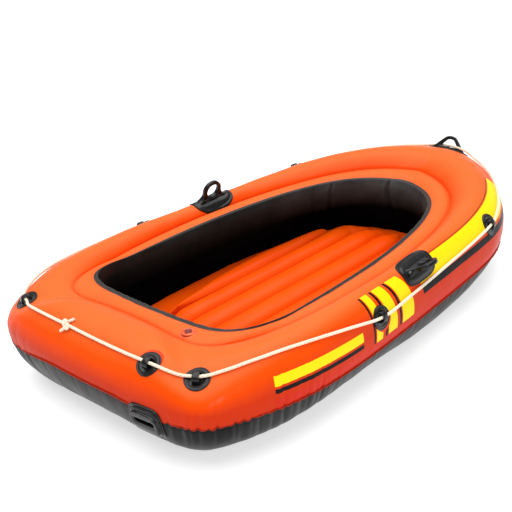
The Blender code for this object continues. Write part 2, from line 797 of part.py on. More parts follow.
def rope_points():
    start, end = WAY[0][0], WAY[-1][0]
    us = set()
    for (a, _), (b, _) in zip(WAY, WAY[1:]):
        length = (surface(b, 45) - surface(a, 45)).length
        n = max(3, int(round((b - a) * 52)))
        for k in range(n):
            us.add(round(a + (b - a) * k / n, 6))
    for way_u, _ in WAY[1:-1]:
        for d in (-0.0045, 0.0045):
            us.add(round(way_u + d, 6))
    us = {u for u in us if abs(u - 1.0) > 0.026}
    for y in (-0.105, -0.078, -0.052, -0.033, -0.020, -0.010, -0.004, 0.004, 0.010, 0.020, 0.033, 0.052, 0.078, 0.105):
        lo, hi = (0.95, 1.05)
        for _ in range(40):
            mid = (lo + hi) / 2
            if surface(mid, BOW_HANDLE[1]).y < y:
                lo = mid
            else:
                hi = mid
        us.add(round(lo, 6))
    ordered = sorted(us)
    kept = [ordered[0]]
    for u in ordered[1:]:
        if (rope_centre(u) - rope_centre(kept[-1])).length > 0.0045:
            kept.append(u)
    return [rope_centre(u) for u in kept if start <= u <= end] + [rope_centre(end)]


KNOT_HALF = 0.0115
route = rope_points()


def trimmed(points, distance):
    """Points with this much cut from the start."""
    left = distance
    while True:
        step = (points[1] - points[0]).length
        if step > left:
            return [points[0] + (points[1] - points[0]) * (left / step)] + points[1:]
        left -= step
        points = points[1:]


knot_centre = (route[0] + route[-1]) / 2
rope_run = trimmed(route, KNOT_HALF + 0.0004)
rope_run = list(reversed(trimmed(list(reversed(rope_run)), KNOT_HALF + 0.0004)))


def tube(name, points, radius, resolution, group=BOAT):
    curve = bpy.data.curves.new(name, "CURVE")
    curve.dimensions = "3D"
    curve.bevel_depth = radius
    curve.bevel_resolution = resolution
    curve.use_fill_caps = True
    poly = curve.splines.new("POLY")
    poly.points.add(len(points) - 1)
    for slot, p in zip(poly.points, points):
        slot.co = (*p, 1.0)
    obj = bpy.data.objects.new(name, curve)
    group.objects.link(obj)
    return obj


rope = tube("grab_rope", rope_run, ROPE_R, 2)
rope.data.materials.append(material("cream_rope", (0.85, 0.80, 0.68), 0.8))


def direction(points):
    return (points[1] - points[0]).normalized()


# ---------------------------------------------------------------- rope knot
k_out = surface_frame(*KNOT)[3]
k_dir = (rope_run[0] - rope_run[-1]).normalized()
k_side = k_out.cross(k_dir).normalized()
knot = cylinder("rope_knot", 0.0072, 2 * KNOT_HALF, (knot_centre - k_dir * KNOT_HALF, k_side, k_out, k_dir), 12)
bulge = bmesh.new()
bmesh.ops.create_uvsphere(bulge, u_segments=12, v_segments=8, radius=1.0)
place = Matrix((k_dir * 0.0098, k_side * 0.0108, k_out * 0.0072)).transposed().to_4x4()
place.translation = knot_centre + k_out * 0.0006
bmesh.ops.transform(bulge, matrix=place, verts=bulge.verts)
bulge_mesh = bpy.data.meshes.new("knot_bulge")
bulge.to_mesh(bulge_mesh)
bulge.free()
bulge_obj = bpy.data.objects.new("knot_bulge", bulge_mesh)
CUTTERS.objects.link(bulge_obj)
boolean(knot, bulge_obj, "UNION")
for sign, reach in ((1, 0.030), (-1, 0.026)):
    lean = (k_side * (0.9 * sign) + k_dir * (0.45 * sign)).normalized()
    root = knot_centre + k_side * (0.006 * sign)
    tip = knot_centre + lean * reach
    tip = hull_hit(tip, k_out) + k_out * (0.0046 + 0.0004)
    axis = (tip - root).normalized()
    side = axis.cross(k_out).normalized()
    tail = cylinder("knot_tail", 0.0036, (tip - root).length, (root, side, axis.cross(side), axis), 8, CUTTERS)
    boolean(knot, tail, "UNION")
shade(knot, bpy.data.materials["cream_rope"])


# ---------------------------------------------------------------- rope clips
def clip(name, u, angle):
    """Round rubber plate with a raised bridge that the rope runs under."""
    p, along, up, out = surface_frame(u, angle)
    near = u if u > WAY[0][0] else u + 1
    heading = (rope_centre(near + 0.004) - rope_centre(near - 0.004)).normalized()
    heading = (heading - out * heading.dot(out)).normalized()
    across = out.cross(heading).normalized()
    obj = pad(name, (p, heading, across, out), (CLIP_R, CLIP_R), CLIP_PLATE, segments=20)
    base = rope_centre(near) - out * 0.0087
    outer = [(-0.0150, 0.0006), (-0.0142, 0.0080), (-0.0108, 0.0138), (-0.0050, 0.0164), (0.0050, 0.0164), (0.0108, 0.0138), (0.0142, 0.0080), (0.0150, 0.0006)]
    inner = [(0.0096, 0.0006), (0.0096, 0.0072), (0.0074, 0.0118), (0.0034, 0.0133), (-0.0034, 0.0133), (-0.0074, 0.0118), (-0.0096, 0.0072), (-0.0096, 0.0006)]
    bridge = extruded(name + "_bridge", outer + inner, 0.017, (base, across, out, heading))
    boolean(obj, bridge, "UNION")
    shade(obj, rubber)
    return obj


for clip_name, (u, angle) in CLIPS.items():
    clip(clip_name, u, angle)


# ---------------------------------------------------------------- oarlocks
def ground(frame, a, w=0.0):
    """Height of the faceted hull under a point that lies a across and w through the frame."""
    origin, across, up, through = frame
    return (hull_hit(origin + across * a + through * w, up) - origin).dot(up)


def foot_height(frame, a, w, half=0.013):
    """Height at depth w that keeps a straight foot, from one face of a plate to the other, above the hull."""
    low, high = ground(frame, a, -half), ground(frame, a, half)
    shares = [k / 8 for k in range(1, 8)]
    rise = max(ground(frame, a, half * (2 * s - 1)) - (low + (high - low) * s) for s in shares)
    return ground(frame, a, w) + max(rise, 0.0) + GAP + 0.0014


def bell_loops(frame, w, count=26):
    """Bell outline at depth w and round hole of an oarlock, as matched loops of (along, up)."""
    hole_r, hole_h = 0.0208, 0.0320
    top_r, half_base = 0.0330, 0.0550
    outer, inner = [], []
    for k in range(count):
        t = 2 * math.pi * (k + 0.5) / count - math.pi / 2
        c, s = math.cos(t), math.sin(t)
        inner.append((hole_r * c, hole_h + hole_r * s))
        if s > 0:
            outer.append((top_r * c, hole_h + top_r * 0.97 * s))
            continue
        side = 1 if c >= 0 else -1
        share = abs(math.atan2(c, -s)) / (math.pi / 2)
        if share > 0.45:
            f = (1 - share) / 0.55
            half = top_r + (half_base - top_r) * f**2.4
            foot = foot_height(frame, side * half, w)
            outer.append((side * half, hole_h + (foot - hole_h) * f))
        else:
            half = half_base * share / 0.45
            outer.append((side * half, foot_height(frame, side * half, w)))
    return outer, inner


def oarlock(name, x, angle, lean, port):
    p, along, up, out = surface_frame(ring_position(x, angle, port), angle)
    fore = along if along.x > 0 else -along
    flat = out.cross(fore).normalized()
    obj = pad(name, (p, fore, flat, out), (0.0710, 0.0385), 0.0038, power=3.4, segments=24)
    tall = Matrix.Rotation(math.radians(lean), 3, fore) @ out
    frame = (hull_hit(p, out), fore, tall, tall.cross(fore).normalized())
    (back, inner), (front, _) = bell_loops(frame, -0.013), bell_loops(frame, 0.013)
    loop = holed_plate(
        name + "_loop", (back, front), inner, lambda h: 0.012 + 0.014 * max(0.0, 1 - max(h - 0.002, 0) / 0.022) ** 1.5, frame
    )
    boolean(obj, loop, "UNION")
    shade(obj, rubber)
    return frame


OARLOCK_FRAMES = {
    "oarlock_port": oarlock("oarlock_port", *OARLOCK_PORT, True),
    "oarlock_starboard": oarlock("oarlock_starboard", *OARLOCK_STARBOARD, False),
}


# ---------------------------------------------------------------- bow handle
hp, h_along, h_up, h_out = surface_frame(*BOW_HANDLE)
h_across = Vector((0, 1, 0))
h_through = h_across.cross(h_out).normalized()
bow_handle = pad("bow_handle", (hp, h_across, h_through, h_out), (0.0760, 0.0200), 0.0030, power=2.6, segments=24)
h_frame = (hull_hit(hp, h_out), h_across, h_out, h_through)


def on_ground(a):
    return a, ground(h_frame, a) + GAP + 0.0012


half_outer = [(0.0160, 0.0425), (0.0240, 0.0365), (0.0340, 0.0265), (0.0460, 0.0150), (0.0590, ground(h_frame, 0.0590) + 0.0058), on_ground(0.0690)]
half_inner = [(0.0115, 0.0320), (0.0165, 0.0280), (0.0215, 0.0220), (0.0260, 0.0165), (0.0290, 0.0120), (0.0300, 0.0090)]
handle_outer = (
    [(-0.0070, 0.0450), (0.0070, 0.0450)] + half_outer + [on_ground(a) for a in (0.0450, 0.0150, -0.0150, -0.0450)] + [(-a, b) for a, b in reversed(half_outer)]
)
handle_inner = (
    [(-0.0050, 0.0335), (0.0050, 0.0335)] + half_inner + [(a, 0.0080) for a in (0.0200, 0.0070, -0.0070, -0.0200)] + [(-a, b) for a, b in reversed(half_inner)]
)
handle_loop = holed_plate("bow_handle_loop", (handle_outer, handle_outer), handle_inner, lambda h: 0.0090, h_frame)
boolean(bow_handle, handle_loop, "UNION")
shade(bow_handle, rubber)


# ---------------------------------------------------------------- stern handle
sp, s_along, s_up, s_out = surface_frame(*STERN_HANDLE)
s_side = Vector((s_along.x, s_along.y, 0)).normalized()
if s_side.y < 0:
    s_side = -s_side
s_rise = s_out.cross(s_side)
if s_rise.z < 0:
    s_rise = -s_rise
stern_handle = pad("stern_handle", (sp, s_side, s_rise, s_out), (0.0520, 0.0480), 0.0030, power=4.0, segments=24, gap=0.0009)


SLOT_RISE = 0.0060
s_base = hull_hit(sp, s_out)
boss =extruded("stern_handle_boss", rounded(0.0430, 0.0300, 4.0), 0.012, (s_base + s_out * 0.0070, s_side, s_rise, s_out))
boolean(stern_handle, boss, "UNION")
slot = extruded("stern_handle_slot", rounded(0.0310, 0.0068, 6.0, 16), 0.060, (s_base + s_rise * SLOT_RISE, s_side, s_rise, s_out))
boolean(stern_handle, slot, "DIFFERENCE")
shade(stern_handle, rubber)
# the weld flange is trimmed where the handle's plate covers it
trim = extruded("flange_trim", rounded(0.0560, 0.0540, 6.0, 16), 0.050, (s_base, s_side, s_rise, s_out))
boolean(seam_flange, trim, "DIFFERENCE")


# ---------------------------------------------------------------- valves
valve_soft = material("clear_orange_vinyl", (0.80, 0.13, 0.02), 0.3)
valve_dark = material("dark_plug_vinyl", (0.20, 0.012, 0.006), 0.35)


def valve(prefix, centre, axis, hinge_side, skins, sink=0.0, base_mat=None):
    """Push-in air valve: a welded base with a bore, a stem that pulls out, and a hinged plug cap."""
    ez = axis.normalized()
    ex = (hinge_side - ez * hinge_side.dot(ez)).normalized()
    ey = ez.cross(ex).normalized()
    at = centre + ez * sink
    frame = (at, ex, ey, ez)
    base = turned(
        prefix + "_base",
        [(0.0180, 0.0), (0.0180, 0.0008), (0.0165, 0.0016), (0.0088, 0.0016), (0.0088, -0.0068), (0.0100, -0.0068), (0.0100, 0.0)],
        frame,
    )
    shade(base, base_mat or valve_soft)
    stem = turned(
        prefix + "_stem",
        [(0.0084, -0.0070), (0.0084, 0.0018), (0.0056, 0.0018), (0.0056, -0.0070)],
        frame,
    )
    shade(stem, base_mat or valve_soft)
    top = 0.0021
    cap = cylinder(prefix + "_cap", 0.0094, 0.0020, (at + ez * top, ex, ey, ez), 24)
    plug = cylinder(prefix + "_plug", 0.0044, 0.0046, (at + ez * (top - 0.0036), ex, ey, ez), 16, CUTTERS)
    boolean(cap, plug, "UNION")
    lug = extruded(
        prefix + "_lug", [(0.0070, top + 0.0001), (0.0118, top + 0.0001), (0.0118, top + 0.0019), (0.0070, top + 0.0019)], 0.006, (at, ex, ez, ey)
    )
    boolean(cap, lug, "UNION")
    shade(cap, valve_dark)
    cutter = cylinder(prefix + "_hole", 0.0108, 0.040, (at - ez * 0.020, ex, ey, ez), 24, CUTTERS)
    for skin in skins:
        boolean(skin, cutter, "DIFFERENCE")
    return at, ex, ez, top


def highest(centre, axis, radius, tree):
    """How far a flat disc must stand off centre along axis to clear the skin."""
    ez = axis.normalized()
    ex = ez.orthogonal().normalized()
    ey = ez.cross(ex)
    top = -1.0
    for r in (0.0, 0.4, 0.7, 1.0):
        for k in range(16):
            t = 2 * math.pi * k / 16
            p = centre + ex * (radius * r * math.cos(t)) + ey * (radius * r * math.sin(t))
            hit = tree.ray_cast(p + ez * 0.05, -ez, 0.12)
            if hit[0] is not None:
                top = max(top, (hit[0] - centre).dot(ez))
    return top


def tree_of(obj):
    return BVHTree.FromPolygons([v.co.copy() for v in obj.data.vertices], [tuple(p.vertices) for p in obj.data.polygons])


DECK_VALVE_AT = Vector((-0.5945, -0.1890, 0.2500))
deck_axis = Vector((0.02, 0.0, 1.0)).normalized()
deck_frame = valve(
    "deck_valve", DECK_VALVE_AT, deck_axis, Vector((-1, -0.3, 0)), [deck_skin],
    highest(DECK_VALVE_AT, deck_axis, 0.018, HULL_TREE) + GAP,
)

hull_p, _, _, hull_out = surface_frame(0.3120, 16.0)
hull_frame = valve(
    "main_valve", hull_p, hull_out, Vector((0, 0, -1)), [deck_skin], highest(hull_p, hull_out, 0.018, HULL_TREE) + GAP,
)

floor_p = Vector((-0.5020, -0.1000, 0.06))
floor_axis = Vector((0, 0, 1))
floor_frame = valve(
    "floor_valve", floor_p, floor_axis, Vector((1, 0, 0)), [floor_skin],
    highest(floor_p, floor_axis, 0.018, tree_of(floor_skin)) + GAP,
)
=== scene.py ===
"""Inflatable one-person boat: the visible model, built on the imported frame.

+X is the bow, +Y is port, +Z is up, z = 0 is the ground, and all lengths are metres.
The skins follow the same hull sections as the frame, as fine meshes with the puckers
that a welded seam pulls into blown-up vinyl. Fittings are moulded shapes bent to them.
"""

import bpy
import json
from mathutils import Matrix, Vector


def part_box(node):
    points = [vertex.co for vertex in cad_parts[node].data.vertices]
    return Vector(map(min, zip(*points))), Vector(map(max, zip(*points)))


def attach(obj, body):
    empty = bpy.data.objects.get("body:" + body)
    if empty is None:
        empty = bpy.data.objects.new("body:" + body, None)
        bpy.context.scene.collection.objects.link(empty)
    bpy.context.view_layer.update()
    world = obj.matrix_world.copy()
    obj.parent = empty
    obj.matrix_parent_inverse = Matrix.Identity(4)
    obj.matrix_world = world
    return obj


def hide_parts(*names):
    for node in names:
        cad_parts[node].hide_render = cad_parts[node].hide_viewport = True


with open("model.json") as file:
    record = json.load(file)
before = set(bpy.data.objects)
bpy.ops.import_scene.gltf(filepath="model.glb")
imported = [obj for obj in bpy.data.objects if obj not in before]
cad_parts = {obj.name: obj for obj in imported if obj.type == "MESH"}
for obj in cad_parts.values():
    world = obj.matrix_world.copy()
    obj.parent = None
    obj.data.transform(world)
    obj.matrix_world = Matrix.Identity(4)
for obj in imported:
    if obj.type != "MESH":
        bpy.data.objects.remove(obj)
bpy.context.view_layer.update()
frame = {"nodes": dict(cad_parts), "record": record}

import json
import math

import bpy
import numpy as np
from mathutils import Matrix, Vector
from mathutils.bvhtree import BVHTree

# ---------------------------------------------------------------- camera
CAMERA_AT = (-2.12838792, -2.05331417, 1.56114944)
CAMERA_RIGHT = (0.69382018, -0.7156001, -0.08080877)
CAMERA_UP = (0.35570508, 0.24296868, 0.90246336)
CAMERA_BACK = (-0.62616887, -0.65489138, 0.42311916)

lens = bpy.data.cameras.new("photo_camera")
lens.lens = 79.3267719
lens.sensor_width = 36.0
lens.clip_end = 60.0
camera = bpy.data.objects.new("photo_camera", lens)
pose = Matrix((CAMERA_RIGHT, CAMERA_UP, CAMERA_BACK)).transposed().to_4x4()
pose.translation = Vector(CAMERA_AT)
camera.matrix_world = pose
bpy.context.scene.collection.objects.link(camera)
bpy.context.scene.camera = camera

# ---------------------------------------------------------------- dimensions of the frame
LENGTH = 1.60
OUTLINE = ((0.8137, 0.1265), (0.5075, 0.4001), (0.2828, 0.4036), (-0.4577, 0.5009), (-0.7093, 0.4161), (-0.8018, 0.3688))
CREASE = ((0.5887, 0.0164), (0.4844, 0.2481), (0.0456, 0.3596), (-0.3635, 0.3543), (-0.6415, 0.2994), (-0.6118, 0.1196))
RIM = ((0.5155, 0.0225), (0.4338, 0.2062), (0.0486, 0.3033), (-0.3211, 0.3086), (-0.5481, 0.3055), (-0.5657, 0.1253))
FOOT = ((0.5150, 0.0400), (0.4700, 0.2560), (0.0600, 0.3420), (-0.3300, 0.3180), (-0.5520, 0.3060), (-0.5680, 0.1260))
EQUATOR_Z = 0.158
CROWN_Z = 0.258
CREASE_Z = 0.2263
RIM_Z = 0.2296
LOWER_RUN = 0.145
BOW_LIFT = 0.0287
WALL_BULGE = 0.027
WALL_SHOULDER = 0.55
WALL_FOOT_Z = 0.010
BOTTOM = 0.0014
BOTTOM_INSET = 0.118
FLOOR_FLANGE_Z = 0.046
FLOOR_CREST_Z = 0.074
FLOOR_VALLEY_Z = 0.050
FLOOR_VALLEYS = (0.0425, 0.1275, 0.2)
ROPE_R = 0.004
CLIPS = {
    "stern_port": (0.4110, 51.3),
    "transom": (0.5403, 52.9),
    "stern_starboard": (0.5890, 51.3),
    "mid_starboard": (0.7370, 20.5),
    "bow_starboard": (0.8425, 32.4),
    "bow_port": (0.1555, 44.0),
    "mid_port": (0.2655, 45.0),
}
TAUT_STARBOARD = ((0.6190, 56.5), (0.6470, 59.2), (0.6740, 57.5), (0.6880, 54.5), (0.7010, 49.0), (0.7130, 41.5), (0.7240, 33.0))
TAUT_PORT = ((0.3100, 48.0), (0.3600, 50.5))
KNOT = (0.4833, 55.3)
KNOT_HALF = 0.0115
BOW_HANDLE = (0.0, 57.0)
STERN_HANDLE = (0.5372, -19.5)
SLOT_RISE = 0.0060
OARLOCK_PORT = (0.028, 92.0, 14.0)
OARLOCK_STARBOARD = (0.024, 58.0, 17.0)

STATIONS = 1280             # columns of the skins round the ring
TAU = 2 * math.pi


# ---------------------------------------------------------------- hull shape, on arrays
def spline(half, u):
    """Points at ring positions u of the closed uniform cubic B-spline through the mirrored control points."""
    pts = np.array(half, float)
    ring = np.vstack([pts, pts[::-1] * (1, -1)])
    n = len(ring)
    s = (n - 0.5 + n * np.asarray(u, float)) % n
    i = np.floor(s).astype(int)
    t = (s - i)[..., None]
    a, b, c, d = ring[(i - 1) % n], ring[i % n], ring[(i + 1) % n], ring[(i + 2) % n]
    return ((1 - t) ** 3 * a + (3 * t**3 - 6 * t**2 + 4) * b + (-3 * t**3 + 3 * t**2 + 3 * t + 1) * c + t**3 * d) / 6


def ease(x, low, high):
    t = np.clip((np.asarray(x, float) - low) / (high - low), 0.0, 1.0)
    return t * t * (3 - 2 * t)


def lift(x):
    return BOW_LIFT * np.clip((np.asarray(x, float) / LENGTH - 0.05) / 0.45, 0.0, 1.0) ** 2


def unit(v):
    return v / np.linalg.norm(v, axis=-1, keepdims=True)


class Sections:
    """Hull sections at an array of ring positions."""

    def __init__(self, u):
        u = np.atleast_1d(np.asarray(u, float)) % 1.0
        self.outer, self.crease, self.rim, self.foot = (spline(c, u) for c in (OUTLINE, CREASE, RIM, FOOT))
        x, y = self.outer[:, 0], np.abs(self.outer[:, 1])
        rise = lift(x) / BOW_LIFT
        bow, stern = ease(x, 0.35, 0.75), ease(-x, 0.45, 0.72)
        corner = np.exp(-(((y - 0.38) / 0.07) ** 2)) * ease(-x, 0.5, 0.68)
        waist = np.exp(-(((x - 0.03) / 0.22) ** 2))
        self.low = 0.0022 + lift(x)
        self.zb = EQUATOR_Z + 0.0096 * rise + 0.003 * stern
        crown = CROWN_Z + 0.0228 * bow + 0.006 * stern - 0.0204 * corner - 0.005 * waist
        self.zc = CREASE_Z + 0.0135 * bow + 0.0156 * stern
        self.zr = RIM_Z + 0.0156 * stern
        across = self.crease - self.outer
        self.dc = np.linalg.norm(across, axis=1)
        self.inward = across / self.dc[:, None]
        self.h = crown - self.zb
        self.last = math.pi - np.arcsin((self.zc - self.zb) / self.h)
        self.a = self.dc / (1 - np.cos(self.last))
        self.over = unit(self.rim - self.crease)
        drop = np.maximum(ease(y, 0.1, 0.33), ease(x, -0.3, 0.0))
        self.seam = -np.radians(5 + 8 * drop + 9 * ease(x, -0.75, -0.15))

    def outer_point(self, angle):
        """Points at section angles in radians, one per section."""
        up = angle >= 0
        run = np.where(up, self.a, LOWER_RUN)
        rise = np.where(up, self.h, self.zb - self.low)
        d = run * (1 - np.cos(angle))
        p = self.outer + self.inward * d[:, None]
        return np.column_stack([p, self.zb + rise * np.sin(angle)])

    def deck_point(self, t):
        p = self.crease + (self.rim - self.crease) * np.asarray(t)[..., None]
        return np.column_stack([p, self.zc + (self.zr - self.zc) * t + 0.007 * np.sin(math.pi * t)])

    def wall_point(self, t):
        low = WALL_FOOT_Z + lift(self.foot[:, 0]) * 0.5
        t = np.broadcast_to(np.asarray(t, float), self.zr.shape)
        p = self.rim + (self.foot - self.rim) * t[:, None] + self.over * (WALL_BULGE * np.sin(math.pi * t**WALL_SHOULDER))[:, None]
        return np.column_stack([p, self.zr + (low - self.zr) * t])


def surface(u, degrees):
    """One point of the hull."""
    return Vector(Sections(u).outer_point(np.array([math.radians(degrees)]))[0])


def surface_frame(u, degrees):
    """Origin on the hull, unit vectors forwards round the ring, up the section, and out."""
    p = surface(u, degrees)
    along = (surface(u + 0.001, degrees) - surface(u - 0.001, degrees)).normalized()
    up = (surface(u, degrees + 0.5) - surface(u, degrees - 0.5)).normalized()
    out = along.cross(up).normalized()
    if out.dot(p - Vector((p.x * 0.8, p.y * 0.8, 0.1))) < 0:
        out = -out
    up = (up - along * up.dot(along)).normalized()
    return p, along, up, out


def ring_position(x, degrees, port):
    """Ring position on one side of the boat where the section angle lies at x."""
    low, high = (0.06, 0.44) if port else (0.94, 0.56)
    for _ in range(40):
        mid = (low + high) / 2
        if surface(mid, degrees).x > x:
            low = mid
        else:
            high = mid
    return low


# ring positions evenly spaced by length along the outline
_u = np.linspace(0.0, 1.0, 16001)
_line = spline(OUTLINE, _u)
_run = np.concatenate([[0.0], np.cumsum(np.linalg.norm(np.diff(_line, axis=0), axis=1))])
ROUND = float(_run[-1])                                    # length of the outline
S = np.arange(STATIONS) * ROUND / STATIONS                 # length from the bow, through port
U = np.interp(S, _run, _u)
FROM_BOW = np.minimum(S, ROUND - S)                        # the same on both sides
HULL = Sections(U)


def at_length(u):
    return float(np.interp(u % 1.0, _u, _run))


def apart(s, centre):
    """Distance along the outline between s and centre, the short way round."""
    d = np.abs(s - centre) % ROUND
    return np.minimum(d, ROUND - d)


# ---------------------------------------------------------------- puckers along welds
def wander(s, *terms):
    """Slow wave round the ring from (amount, whole turns, phase) terms."""
    return sum(a * np.sin(k * TAU * s / ROUND + p) for a, k, p in terms)


def pillow(phase):
    """Rounded swellings between narrow pinches, from 0 at a pinch to 1."""
    return np.abs(np.cos(phase / 2)) ** 0.75


PLEATS = 184 * TAU * S / ROUND + wander(S, (2.2, 7, 0.3), (1.5, 13, 1.9), (0.8, 31, 0.7), (0.4, 53, 2.2))
FOLDS = 89 * TAU * S / ROUND + wander(S, (2.1, 5, 1.1), (1.6, 11, 0.2), (1.0, 23, 2.9))
PLEAT_SIZE = 0.62 + 0.22 * wander(S, (1, 41, 0.4), (0.6, 67, 1.3)) + 0.16 * wander(S, (1, 97, 2.0))
AFT = ease(FROM_BOW, 1.30, 1.48) * (1 - ease(FROM_BOW, 1.84, 1.96))
FORE = ease(FROM_BOW, 0.22, 0.36) * (1 - ease(FROM_BOW, 0.52, 0.66))
HANDLE_S = at_length(STERN_HANDLE[0])
FLAT = 1 - np.exp(-((apart(S, HANDLE_S) / 0.058) ** 4))     # skins lie flat behind the stern handle
PUCKER = (0.00050 + 0.0029 * AFT + 0.0012 * FORE) * FLAT
CORNER = ease(FROM_BOW, 1.52, 1.66) * (1 - ease(FROM_BOW, 1.87, 1.97))


# the seam hangs in small lobes between the pinches, most at the stern corners
LOBE = (0.0056 * CORNER + 0.0009 * AFT + 0.0007 * FORE) * PLEAT_SIZE * FLAT * (pillow(PLEATS) - 0.5)
SEAM = HULL.seam - LOBE / 0.15


def pleats(t, reach):
    """Displacement at distance t from the seam weld."""
    swell = (pillow(PLEATS) - 0.62)[:, None] * (PUCKER * PLEAT_SIZE)[:, None] * np.exp(-((t / reach) ** 2))
    return swell


def folds(t, reach, share):
    return (pillow(FOLDS) - 0.66)[:, None] * (PUCKER * share)[:, None] * np.exp(-((t / reach) ** 2))


def slack(s, t):
    """Very low waves of skin that isn't fully taut."""
    a = np.sin(TAU * (13 * s / ROUND + t / 0.37) + 0.6) * np.cos(TAU * t / 0.23 + 1.0 + 0.8 * np.sin(TAU * 4 * s / ROUND))
    b = np.sin(TAU * (29 * s / ROUND - t / 0.21) + 2.1)
    c = np.sin(TAU * (47 * s / ROUND + t / 0.15) + 0.9)
    return 0.00045 * a + 0.00022 * b + 0.00012 * c


def normals_of(grid):
    """Unit normals of a grid that is closed along its first direction."""
    du = np.roll(grid, -1, 0) - np.roll(grid, 1, 0)
    dv = np.gradient(grid, axis=1)
    return unit(np.cross(du, dv))


def arcs(grid):
    """Length along each station's row from its first point."""
    step = np.linalg.norm(np.diff(grid, axis=1), axis=2)
    return np.concatenate([np.zeros((len(grid), 1)), np.cumsum(step, axis=1)], axis=1)


# ---------------------------------------------------------------- mesh builders
def new_piece(name, verts, faces, material, slot, body="hull", uvs=None, smooth=True, sharp=None):
    mesh = bpy.data.meshes.new(name)
    mesh.from_pydata(np.asarray(verts, float).reshape(-1, 3).tolist(), [], [list(map(int, f)) for f in faces])
    for layer, values in (uvs or {}).items():
        data = mesh.uv_layers.new(name=layer).data
        index = np.empty(len(mesh.loops), np.int32)
        mesh.loops.foreach_get("vertex_index", index)
        data.foreach_set("uv", np.asarray(values, np.float32).reshape(-1, 2)[index].ravel())
    mesh.validate()
    mesh.materials.append(material)
    if smooth:
        mesh.shade_smooth()
        if sharp:
            mesh.set_sharp_from_angle(angle=math.radians(sharp))
    piece = bpy.data.objects.new(name, mesh)
    bpy.context.scene.collection.objects.link(piece)
    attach(piece, body)
    return piece


def quads(n, m, closed_n=True, closed_m=False, shift=0, flip=False):
    """Faces of an n by m grid of points, closed along either direction."""
    i = np.arange(n if closed_n else n - 1)[:, None]
    k = np.arange(m if closed_m else m - 1)[None, :]
    j, l = (i + 1) % n, (k + 1) % m
    four = np.stack([i * m + k, j * m + k, j * m + l, i * m + l], -1).reshape(-1, 4) + shift
    return four[:, ::-1] if flip else four


def turned(profile, segments, frame_):
    """Points and faces of a (radius, height) profile turned about frame_'s axis; a radius of 0 is a pole."""
    origin, ex, ey, ez = frame_
    t = TAU * np.arange(segments) / segments
    spokes = np.cos(t)[:, None] * np.array(ex) + np.sin(t)[:, None] * np.array(ey)
    verts, rows, faces = [], [], []
    for r, h in profile:
        if r == 0:
            rows.append([len(verts)])
            verts.append(np.array(origin) + np.array(ez) * h)
        else:
            rows.append(list(range(len(verts), len(verts) + segments)))
            verts.extend(np.array(origin) + spokes * r + np.array(ez) * h)
    for low, high in zip(rows, rows[1:]):
        for k in range(segments):
            l = (k + 1) % segments
            if len(low) == 1 and len(high) == 1:
                continue
            if len(high) == 1:
                faces.append((low[k], low[l], high[0]))
            elif len(low) == 1:
                faces.append((low[0], high[l], high[k]))
            else:
                faces.append((low[k], low[l], high[l], high[k]))
    return verts, faces


def joined(*parts):
    """Several (points, faces) as one."""
    verts, faces = [], []
    for points, some in parts:
        shift = len(verts)
        verts.extend(np.asarray(points, float).reshape(-1, 3))
        faces.extend([tuple(int(i) + shift for i in f) for f in some])
    return verts, faces


def oval(half_w, half_h, power, count, turn=0.0):
    """Superellipse as (across, up) points."""
    t = TAU * (np.arange(count) + 0.5) / count + turn
    c, s = np.cos(t), np.sin(t)
    q = (np.abs(c) ** power + np.abs(s) ** power) ** (-1 / power)
    return np.column_stack([half_w * q * c, half_h * q * s])


def swept(centres, sides, fronts, half_side, half_front, power=4.0, count=20, caps=True):
    """Rounded bar through centres; its section lies along unit vectors sides and fronts."""
    centres, sides, fronts = (np.asarray(v, float) for v in (centres, sides, fronts))
    n = len(centres)
    ring = oval(1.0, 1.0, power, count)
    hs = np.broadcast_to(half_side, n)
    hf = np.broadcast_to(half_front, n)
    grid = (
        centres[:, None, :]
        + sides[:, None, :] * (hs[:, None] * ring[None, :, 0])[..., None]
        + fronts[:, None, :] * (hf[:, None] * ring[None, :, 1])[..., None]
    )
    verts = list(grid.reshape(-1, 3))
    faces = [tuple(f) for f in quads(n, count, closed_n=False, closed_m=True)]
    if caps:
        for row, turn in ((0, 1), (n - 1, -1)):
            verts.append(grid[row].mean(axis=0))
            tip = len(verts) - 1
            loop = [row * count + k for k in range(count)][::turn]
            faces += [(loop[k], loop[(k + 1) % count], tip) for k in range(count)]
    return verts, faces


def faced_out(verts, faces):
    """The same closed shape with its faces turned outwards."""
    v = np.asarray(verts, float)
    total = 0.0
    for f in faces:
        a = v[f[0]]
        for i in range(1, len(f) - 1):
            total += float(np.dot(a, np.cross(v[f[i]], v[f[i + 1]])))
    return (verts, faces) if total > 0 else (verts, [tuple(reversed(tuple(f))) for f in faces])


